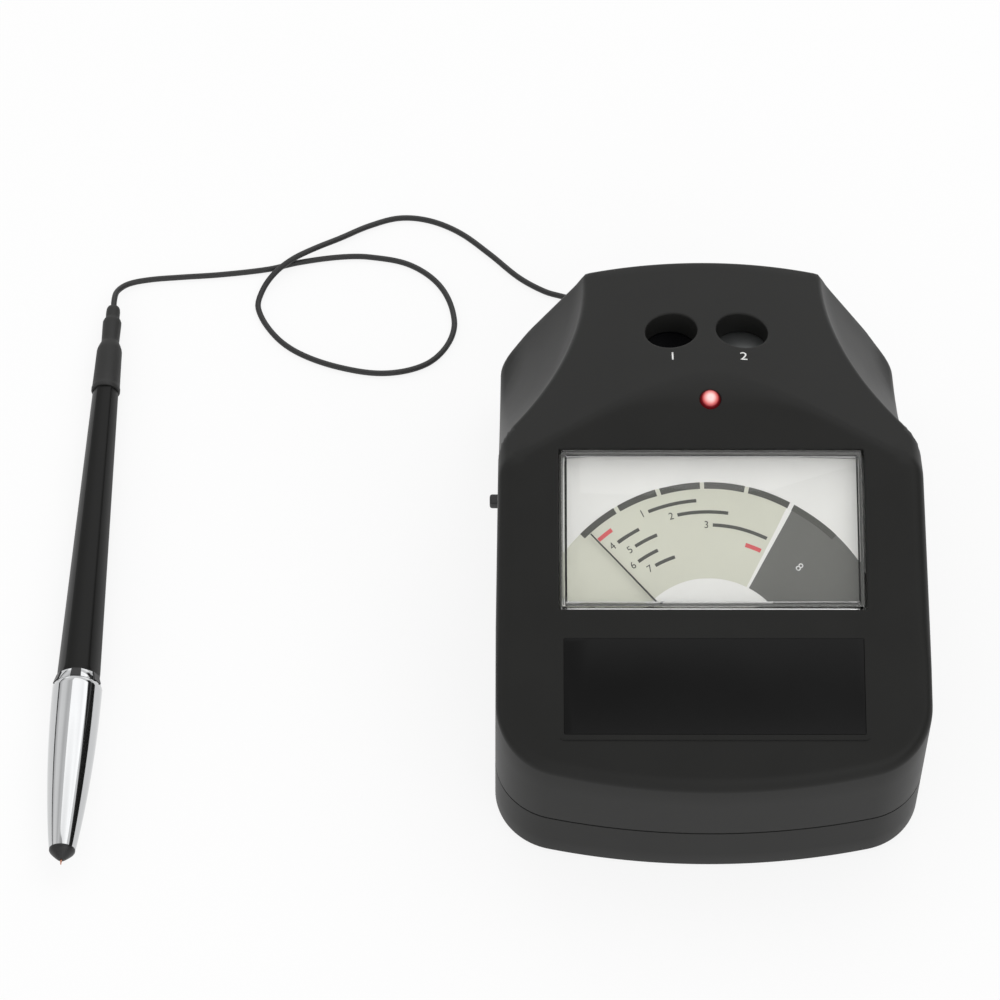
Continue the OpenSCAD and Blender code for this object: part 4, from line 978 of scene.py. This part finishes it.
FAN_IN, FAN_OUT, FAN_ENDS, SECTOR_ENDS = 21.6, 47.1, (68, -26.9), (-28.7, -72)
BAND_T, BAND_OVER, BAND_GAP = 1.7, 0.05, 0.7
BAND_ENDS = [45.5, 31.2, 16.5, 1.9, -12.8, -27.9, -46.0]
BAR_T, RED_BAR_T = 0.9, 1.1
# Each bar has a radius in mm, and its two ends in degrees left of upright.
BARS = [(42.3, 22.0, 4.2), (39.2, 12.0, -7.8), (35.7, -1.9, -25.2), (39.1, 37.7, 28.0),
        (35.7, 32.9, 22.4), (31.9, 35.7, 24.9), (28.6, 29.6, 18.2)]
RED_BARS = [(42.5, 42.5, 36.5), (32.0, -17.4, -25.1)]
band = [ring_patch(FAN_OUT - BAND_T, FAN_OUT + BAND_OVER, a - (BAND_GAP if i else 0), b + BAND_GAP)
        for i, (a, b) in enumerate(zip(BAND_ENDS, BAND_ENDS[1:]))]
print_patch("dial_fan", [ring_patch(FAN_IN, FAN_OUT, *FAN_ENDS)], beige_ink)
print_patch("dial_sector", [ring_patch(FAN_IN, FAN_OUT, *SECTOR_ENDS)], grey_ink)
print_patch("dial_band", band, dark_ink, PRINT_T)
for name, bars, thick, ink in (("dial_bars", BARS, BAR_T, dark_ink),
                               ("dial_red_bars", RED_BARS, RED_BAR_T, red_ink)):
    print_patch(name, [ring_patch(r - thick / 2, r + thick / 2, a, b) for r, a, b in bars], ink,
                PRINT_T)


# %% Plain numbers
def number_mesh(text, size, ink, place, name):
    """A printed number: flat figures with a little thickness, put in place by a function of mm."""
    curve = bpy.data.curves.new("number", "FONT")
    curve.body, curve.size, curve.extrude = text, size, PRINT_T / 2
    curve.align_x, curve.align_y = "CENTER", "CENTER"
    holder = bpy.data.objects.new("number", curve)
    scene.collection.objects.link(holder)
    bpy.context.view_layer.update()
    flat = bpy.data.meshes.new_from_object(
        holder.evaluated_get(bpy.context.evaluated_depsgraph_get()))
    bpy.data.objects.remove(holder)
    points = [place(v.co.x, v.co.y, v.co.z + PRINT_T / 2) for v in flat.vertices]
    return mesh_piece(name, points, [tuple(f.vertices) for f in flat.polygons], ink, CRISP)


def dial_number(text, size, ink, r, a, name="dial_numbers"):
    """A number on the dial, upright along its radius, a degrees left of upright."""
    c, s = polar(1, a)

    def place(x, y, lift):
        return on_print(x * c - y * s - r * s, x * s + y * c + r * c, lift + PRINT_T)
    return number_mesh(text, size, ink, place, name)


def well_number(text, side):
    """A white number on the hump in front of a test well."""
    def place(x, y, lift):
        u = side * WELL_X + x
        return on_hump(u, WELL_AT - WELL_NUMBER_AT + y, crown_drop(u) + lift)
    return number_mesh(text, WELL_NUMBER_H, white_ink, place, "well_numbers")


NUMBER_H, NUMBER_GAP = 2.7, 1.7
SECTOR_NUMBER_H, SECTOR_NUMBER_R, SECTOR_NUMBER_TURN = 3.2, 34, -44
WELL_NUMBER_H, WELL_NUMBER_AT = 4.4, 10.9
bar_numbers = [dial_number(str(i + 1), NUMBER_H, dark_ink, r, a + math.degrees(NUMBER_GAP / r))
               for i, (r, a, _) in enumerate(BARS)]
join_body(outward(merge(*bar_numbers)), "housing", "dial_card")
sector_number = dial_number("8", SECTOR_NUMBER_H, white_ink, SECTOR_NUMBER_R, SECTOR_NUMBER_TURN,
                            "sector_number")
join_body(outward(sector_number), "housing", "dial_card")
join_body(outward(merge(well_number("1", -1), well_number("2", 1))), "housing", "shell_black")

# %% [markdown]
# The needle is a stamped strip that narrows to its point, on a round hub with a balance weight at
# its tail. It is one flat outline given a small thickness, and it rides on the needle's body.

# %% Needle
NEEDLE_L, NEEDLE_REST, NEEDLE_T, NEEDLE_LIFT = 46.0, 43.4, 0.3, 1.1
ROOT_HALF, POINT_HALF, HUB_R, WEIGHT_R, WEIGHT_AT = 0.26, 0.16, 1.7, 2, -9
blade = [(ROOT_HALF, HUB_R), (POINT_HALF, NEEDLE_L), (-POINT_HALF, NEEDLE_L), (-ROOT_HALF, HUB_R)]
hub = [polar(HUB_R, a) for a in range(100, 256, 12)]
weight = [(u, WEIGHT_AT + v) for u, v in (polar(WEIGHT_R, a) for a in range(120, 421, 20))]
c, s = polar(1, NEEDLE_REST)
shape = [(u * c - v * s, u * s + v * c)
         for u, v in blade + hub + weight + [(-u, v) for u, v in reversed(hub)]]
# Matt paint, sprayed on: a soft black line without any glint.
needle_paint = finish("matt_needle_paint", "#1a1a18", 0.55, grain=0.2, depth=0.003)
points = []
faces = flat_prism(points, shape, on_dial, NEEDLE_LIFT - NEEDLE_T / 2, NEEDLE_LIFT + NEEDLE_T / 2)
needle = mesh_piece("needle_blade", points, faces, needle_paint, CRISP)
join_body(outward(needle), "needle", "needle_black", "meter_needle")

# %% [markdown]
# The ready lamp is a 5 mm indicator: a domed cap of tinted resin that glows. Its light is strongest
# in the middle, where the chip lies under the dome, and falls off to a deep red at the rim, so the
# colour follows the distance from the lamp's own axis.

# %% Ready lamp
# Colour of the glow by share of the lamp's radius, from the middle to the rim.
LAMP_GLOW = [(0.25, "#ffe6e4"), (0.45, "#fcc0bc"), (0.68, "#e2706e"), (0.86, "#9c2c30"),
             (0.98, "#4a0a0e")]


def set_stops(ramp, levels):
    """Give a colour ramp its stops, each a place and a linear colour."""
    stops = ramp.color_ramp.elements
    for _ in range(len(levels) - 2):
        stops.new(0.5)
    for stop, (at, colour) in zip(stops, levels):
        stop.position, stop.color = at, colour
    return ramp.outputs[0]


def lamp_resin(name, centre):
    """Red tinted resin, cast clear, with a pale hot middle; centre is the lamp's place in mm."""
    material = bpy.data.materials.new(name)
    material.use_nodes = True
    tree = material.node_tree
    surface = tree.nodes["Principled BSDF"].inputs
    place = add(tree, "ShaderNodeTexCoord").outputs["Object"]
    away = add(tree, "ShaderNodeVectorMath", {0: place, 1: Vector(centre) * MM},
               operation="DISTANCE")
    share = add(tree, "ShaderNodeMapRange", {"Value": away.outputs["Value"],
                                             "From Max": LED_D / 2 * MM})
    ramp = add(tree, "ShaderNodeValToRGB", {"Fac": share.outputs[0]})
    glow = set_stops(ramp, [(at, linear(code)) for at, code in LAMP_GLOW])
    tree.links.new(glow, surface["Emission Color"])
    for socket, value in (("Roughness", 0.18), ("Base Color", linear("#4a0a10")),
                          ("Emission Strength", 0.9)):
        surface[socket].default_value = value
    return material


LED_OUT, LED_LOW, FLANGE_OUT, FLANGE_T, LED_SIDES = 1.6, -6.0, 0.4, 1, 40
sections = [(LED_D / 2 + FLANGE_OUT, LED_LOW - FLANGE_T), (LED_D / 2 + FLANGE_OUT, LED_LOW),
            (LED_D / 2, LED_LOW)]
sections += [(s, LED_OUT - LED_D / 2 + c)
             for c, s in (polar(LED_D / 2, a) for a in range(90, 0, -10))]
loops = panel_loops(LED_AT, [(circle(r, LED_SIDES), n) for r, n in sections])
tinted_resin = lamp_resin("tinted_lamp_resin", on_panel(0, LED_AT, LED_OUT))
lamp_cap = ring_piece("ready_lamp", loops, tinted_resin, ROUND)
join_body(outward(lamp_cap), "housing", "lamp_red", "ready_led")

# %% [markdown]
# The plate under the window is a thin printed sheet, stuck into a shallow recess. It is left bare.
# A sheet that is cut and printed has a fine rounded edge and slight waves in its gloss.

# %% Bare gloss plate
PLATE_PROUD = 0.1
# Each section is drawn in by a width, and has a corner radius and a height over the panel.
PLATE_EDGE = [(0, 0.3, -PLATE_T), (0, 0.3, PLATE_PROUD - 0.1), (0.08, 0.28, PLATE_PROUD - 0.03),
              (0.24, 0.2, PLATE_PROUD)]
loops = panel_loops(PLATE_AT, [(rectangle(PLATE_W - less, PLATE_H - less, corner), n)
                               for less, corner, n in PLATE_EDGE])
plate = ring_piece("gloss_plate", loops, gloss_plate)
join_body(outward(plate), "housing", "plate_black", "nameplate")

# %% [markdown]
# The switch's knob is a small nub with eased corners, on a flat carriage that slides behind the
# wall. Its place comes from the CAD node's box.

# %% Switch knob
KNOB_L, KNOB_REACH, KNOB_ROOT, CARRIAGE_T = 3.2, 1.6, 1, 3.0
low, high = (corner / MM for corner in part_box("switch_knob"))
mid_y, mid_z, tall = (low.y + high.y) / 2, (low.z + high.z) / 2, high.z - low.z
knob_x = -HALF_W - KNOB_REACH
# Each section is drawn in by a width, and has a corner radius and a place along X.
sections = [(0, 0.3, high.x - KNOB_ROOT), (0, 0.3, knob_x + 0.6), (0.16, 0.4, knob_x + 0.28),
            (0.5, 0.5, knob_x + 0.08), (1.1, 0.5, knob_x)]
points, faces = [], []
block(points, faces, (high.x - CARRIAGE_T, low.y, low.z), high)
faces += capped([extend(points, [(x, mid_y + u, mid_z + v) for u, v in rectangle(
    KNOB_L - less, tall - less, corner, cuts=(2, 2))]) for less, corner, x in sections])
knob = mesh_piece("slide_knob", points, faces, small_abs, EASED)
join_body(outward(knob), "switch", "case_black", "switch_knob")

# %% [markdown]
# Most of the pen's pieces are turned, so each is a profile spun about the pen's axis: the chrome
# nose swells from the tip, a black domed collar closes it, and the rubber boot steps down to the
# cord. The barrel is a tapering six-sided bar whose corners run out into curves where its lower
# end is turned to a cone.

# %% Turned pieces of the pen
PEN_UP = (Vector((0, 0, 1)) - PEN_DIR.z * PEN_DIR).normalized()
PEN_SIDE = PEN_UP.cross(PEN_DIR)


def on_pen(u, v, t):
    """A place beside, above and along the pen, from its tip."""
    return PEN_TIP + u * PEN_SIDE + v * PEN_UP + t * PEN_DIR


def turned(name, profile, material, sides=72):
    """A closed profile of radius and station, spun about the pen's axis."""
    loops = [[on_pen(u, v, t) for u, v in circle(r, sides)] for r, t in profile]
    return outward(ring_piece(name, loops, material, ROUND, tube=True))


NOSE_AT, NOSE_L, NOSE_R, COLLAR_R, NOSE_SWELL, NOSE_EDGE = 4.5, 55, 6.8, 3.5, 0.85, 0.3
SLEEVE_R, GUIDE_R, SLEEVE_AT = 4.6, 2.7, 42
nose_curve = [(COLLAR_R + (NOSE_R - COLLAR_R) * math.sin(math.radians(90 * t ** NOSE_SWELL)),
               NOSE_AT + (NOSE_L - NOSE_EDGE - NOSE_AT) * t) for t in (i / 40 for i in range(41))]
nose_bore = [(NOSE_R - NOSE_EDGE, NOSE_L), (SLEEVE_R, NOSE_L), (SLEEVE_R, SLEEVE_AT),
             (GUIDE_R, SLEEVE_AT - 0.1), (GUIDE_R, NOSE_AT)]
collar_curve = [(0.4, 1.4), (0.75, 1.42), (1.05, 1.55), (1.6, 2.0), (2.3, 2.65), (2.9, 3.25),
                (3.25, 3.65), (3.45, 4.0), (3.5, 4.25), (3.5, 4.44), (2.58, 4.46), (2.58, 7),
                (0.4, 7)]
boot_curve = [(3.6, 155.15), (4.0, 155.2), (4.15, 155.5), (4.15, 156.4), (4.02, 156.9),
              (3.98, 157.6), (3.82, 163), (3.66, 169.6), (3.52, 170.4), (3.2, 171.4), (2.9, 172.2),
              (2.72, 172.6), (2.6, 173.0), (2.6, 174.0), (2.72, 179.4), (2.7, 180.3), (2.46, 181.0),
              (2.1, 181.6), (2.02, 182.1), (2.04, 184.2), (1.94, 185.1), (1.7, 185.7),
              (1.3, 186.05), (0.86, 186.15), (0.86, 160), (2.9, 159), (2.9, 155.15)]
join_body(turned("chrome_nose", nose_curve + nose_bore, chrome, 128), "pen", "chrome", "nose_cone")
join_body(turned("domed_collar", collar_curve, small_abs), "pen", "barrel_black", "tip_collar")
join_body(turned("cord_boot", boot_curve, rubber), "pen", "rubber_black", "pen_boot")

# %% Faceted barrel
BARREL_AT, BARREL_END, BARREL_R1, BARREL_R2 = 58.1, 155.1, 6.25, 3.9
FACET_SHARE, CORNER_MOST, ROUND_SIZE = 0.55, 0.965, 0.93
CONE_R, CONE_GROWS = 5.75, 0.12
CORD_BORE_R, CORD_BORE_AT = 1.6, 72
TURN_STEP = 2.5
STATIONS = [BARREL_AT + d for d in (0, 0.4, 0.8, 1.2, 1.6, 2.0, 2.4, 2.8, 3.2, 3.6, 4.2, 5, 7, 12,
                                    30, 60, 90)] + [BARREL_END - 0.3, BARREL_END]
BORE = [(CORD_BORE_R, BARREL_END), (CORD_BORE_R, CORD_BORE_AT), (SLEEVE_R, CORD_BORE_AT - 0.1),
        (SLEEVE_R, BARREL_AT)]


def barrel_radius(turn, t):
    """Radius of the six-sided taper with eased corners, and the cone at its lower end."""
    size = BARREL_R1 + (BARREL_R2 - BARREL_R1) * (t - BARREL_AT) / (BARREL_END - BARREL_AT)
    facet = math.cos(math.pi / 6) * size / math.cos(turn % (math.pi / 3) - math.pi / 6)
    rounded = (FACET_SHARE * min(facet, CORNER_MOST * size)
               + (1 - FACET_SHARE) * ROUND_SIZE * size)
    return min(rounded, CONE_R + CONE_GROWS * (t - BARREL_AT))


turns = [i * TURN_STEP for i in range(round(360 / TURN_STEP))]
loops = [[on_pen(*polar(barrel_radius(math.radians(a), t), a), t) for a in turns]
         for t in STATIONS]
loops += [[on_pen(*polar(r, a), t) for a in turns] for r, t in BORE]
barrel = ring_piece("faceted_barrel", loops, barrel_abs, FIRM, tube=True)
join_body(outward(barrel), "pen", "barrel_black", "pen_barrel")

# %% [markdown]
# Between barrel and nose sits a bright ring that the barrel grips with small black lugs. The lugs
# repeat around the axis, so a node tree sets one block at each point of a circle and turns it
# outwards.

# %% Bright ring
RING_AT, RING_L, RING_R, RING_PLAY = 55.05, 3.0, 5.85, 0.02
ring_low, ring_high = RING_AT + RING_PLAY, RING_AT + RING_L - RING_PLAY
ring = turned("bright_ring", [(RING_R + 0.6, ring_low), (RING_R + 0.7, RING_AT + 0.2),
                              (RING_R, RING_AT + 2.8), (RING_R - 0.1, ring_high),
                              (SLEEVE_R, ring_high), (SLEEVE_R, ring_low)], chrome)
join_body(ring, "pen", "chrome", "pen_ring")

# %% Lugs of the ring
LUG_COUNT, LUG_BLOCK = 6, Vector((0.5, 2.6, RING_L - 0.2))
LUG_WIDER, LUG_TAPER = 1.05, 0.045
around, given, made = node_tree("blocks_around_axis", {
    "Count": "NodeSocketInt", "Radius": "NodeSocketFloat", "Block": "NodeSocketVector",
    "Material": "NodeSocketMaterial"})
circle_of = add(around, "GeometryNodeMeshCircle", {"Vertices": given["Count"],
                                                   "Radius": given["Radius"]})
block_of = add(around, "GeometryNodeMeshCube", {"Size": given["Block"]})
place_of = add(around, "GeometryNodeInputPosition")
turn_of = add(around, "FunctionNodeAlignRotationToVector", {"Vector": place_of.outputs[0]},
              axis="X", pivot_axis="Z")
set_of = add(around, "GeometryNodeInstanceOnPoints", {"Points": circle_of.outputs[0],
                                                      "Instance": block_of.outputs[0],
                                                      "Rotation": turn_of.outputs[0]})
end_tree(around, set_of.outputs[0], given, made)

lugs = mesh_piece("ring_lugs", [(0, 0, 0)], [], small_abs)
grow(lugs, around, {"Count": LUG_COUNT, "Radius": RING_R * MM, "Block": LUG_BLOCK * MM,
                    "Material": small_abs})
for vertex in lugs.data.vertices:
    x, y, z = vertex.co / MM
    taper = LUG_WIDER - LUG_TAPER * z
    vertex.co = on_pen(y * taper, x * taper, z + RING_AT + RING_L / 2) * MM
join_body(outward(lugs), "pen", "barrel_black")

# %% [markdown]
# The stage is a plain pale floor in a soft studio. Seen directly or mirrored, the floor is mostly
# plain white, and keeps a soft shadow. The room is a world whose brightness follows the height of
# the direction: dim at the ceiling above the camera, bright at half height, where the light boxes
# hang, and brightest low down in the middle. It is dark near the floor on the left and in a gap on
# the right, which gives the chrome its dark streaks.

# %% Floor
FLOOR_REACH, FLOOR_WHITE = 6.0, 0.85


def pale_floor(name, whiteness):
    """A matt painted floor that camera, mirror and glass rays see as mostly white."""
    material = finish(name, "#f6f6f6", 0.8, vary=0.0, depth=0.001)
    tree = material.node_tree
    path = add(tree, "ShaderNodeLightPath").outputs
    seen = path["Is Camera Ray"]
    for ray in ("Is Glossy Ray", "Is Transmission Ray"):
        seen = add(tree, "ShaderNodeMath", {0: seen, 1: path[ray]}, operation="MAXIMUM").outputs[0]
    share = add(tree, "ShaderNodeMath", {0: seen, 1: whiteness}, operation="MULTIPLY")
    glow = add(tree, "ShaderNodeEmission", {"Color": (1, 1, 1, 1), "Strength": 1.0})
    mix = add(tree, "ShaderNodeMixShader", {0: share.outputs[0], 2: glow.outputs[0],
                                            1: tree.nodes["Principled BSDF"].outputs[0]})
    tree.links.new(mix.outputs[0], tree.nodes["Material Output"].inputs["Surface"])
    return material


floor_mesh = bpy.data.meshes.new("studio_floor")
floor_mesh.from_pydata([(x * FLOOR_REACH, y * FLOOR_REACH, 0)
                        for x, y in ((-1, -1), (1, -1), (1, 1), (-1, 1))], [], [(0, 1, 2, 3)])
floor_mesh.materials.append(pale_floor("pale_studio_floor", FLOOR_WHITE))
studio_floor = bpy.data.objects.new("studio_floor", floor_mesh)
scene.collection.objects.link(studio_floor)
print("floor", 2 * FLOOR_REACH, "m wide")

# %% Room light
# Each part of the room has levels of light by height, from the floor line to the zenith.
LEFT_LEVELS = [(0, 0.02), (0.08, 0.03), (0.12, 0.6), (0.36, 1.0), (0.58, 0.95), (0.72, 0.68),
               (0.86, 0.85), (0.97, 0.5), (1, 0.4)]
MIDDLE_LEVELS = [(0, 0.9), (0.04, 1.4), (0.2, 1.4), (0.32, 0.95), (0.58, 0.9), (0.72, 0.68),
                 (0.86, 0.85), (0.97, 0.5), (1, 0.4)]
RIGHT_LEVELS = [(0, 0.7), (0.13, 0.6), (0.16, 0.03), (0.46, 0.03), (0.5, 0.95), (0.85, 0.85),
                (0.97, 0.5), (1, 0.4)]
LEFT_ENDS, RIGHT_STARTS = (-0.6, -0.45), (0.5, 0.62)
world = bpy.data.worlds.new("studio_world")
world.use_nodes = True
scene.world = world
room = world.node_tree
sky = add(room, "ShaderNodeTexCoord").outputs["Generated"]
sky_x, _, sky_z = add(room, "ShaderNodeSeparateXYZ", {0: sky}).outputs
left_room, middle_room, right_room = (
    set_stops(add(room, "ShaderNodeValToRGB", {"Fac": sky_z}),
              [(at, (level, level, level, 1)) for at, level in levels])
    for levels in (LEFT_LEVELS, MIDDLE_LEVELS, RIGHT_LEVELS))


def side_by_side(ends, left, right):
    """Light that goes over from one part of the room to the next between two directions."""
    share = add(room, "ShaderNodeMapRange", {"Value": sky_x, "From Min": ends[0],
                                             "From Max": ends[1]})
    return add(room, "ShaderNodeMix", {"Factor": share.outputs[0], 6: left, 7: right},
               data_type="RGBA").outputs[2]


left_part = side_by_side(LEFT_ENDS, left_room, middle_room)
room.links.new(side_by_side(RIGHT_STARTS, left_part, right_room),
               room.nodes["Background"].inputs["Color"])
print("room of", len(room.nodes), "nodes")


# %% Lamps
def lamp(name, place, target, size, power):
    """A soft square lamp at a place, turned to a target, both in mm."""
    data = bpy.data.lights.new(name, "AREA")
    data.shape = "RECTANGLE"
    data.size, data.size_y = size
    data.energy = power
    obj = bpy.data.objects.new(name, data)
    turn = (Vector(target) - Vector(place)).normalized().to_track_quat("-Z", "Y")
    obj.matrix_world = Matrix.Translation(Vector(place) * MM) @ turn.to_matrix().to_4x4()
    scene.collection.objects.link(obj)
    print(name, power, "W")


LIT = (0, 0, 40)
lamp("rear_soft_box", (250, 700, 1300), LIT, (1.7, 1.3), 5.8)
lamp("front_soft_box", (500, -900, 900), LIT, (1.2, 0.9), 3.4)
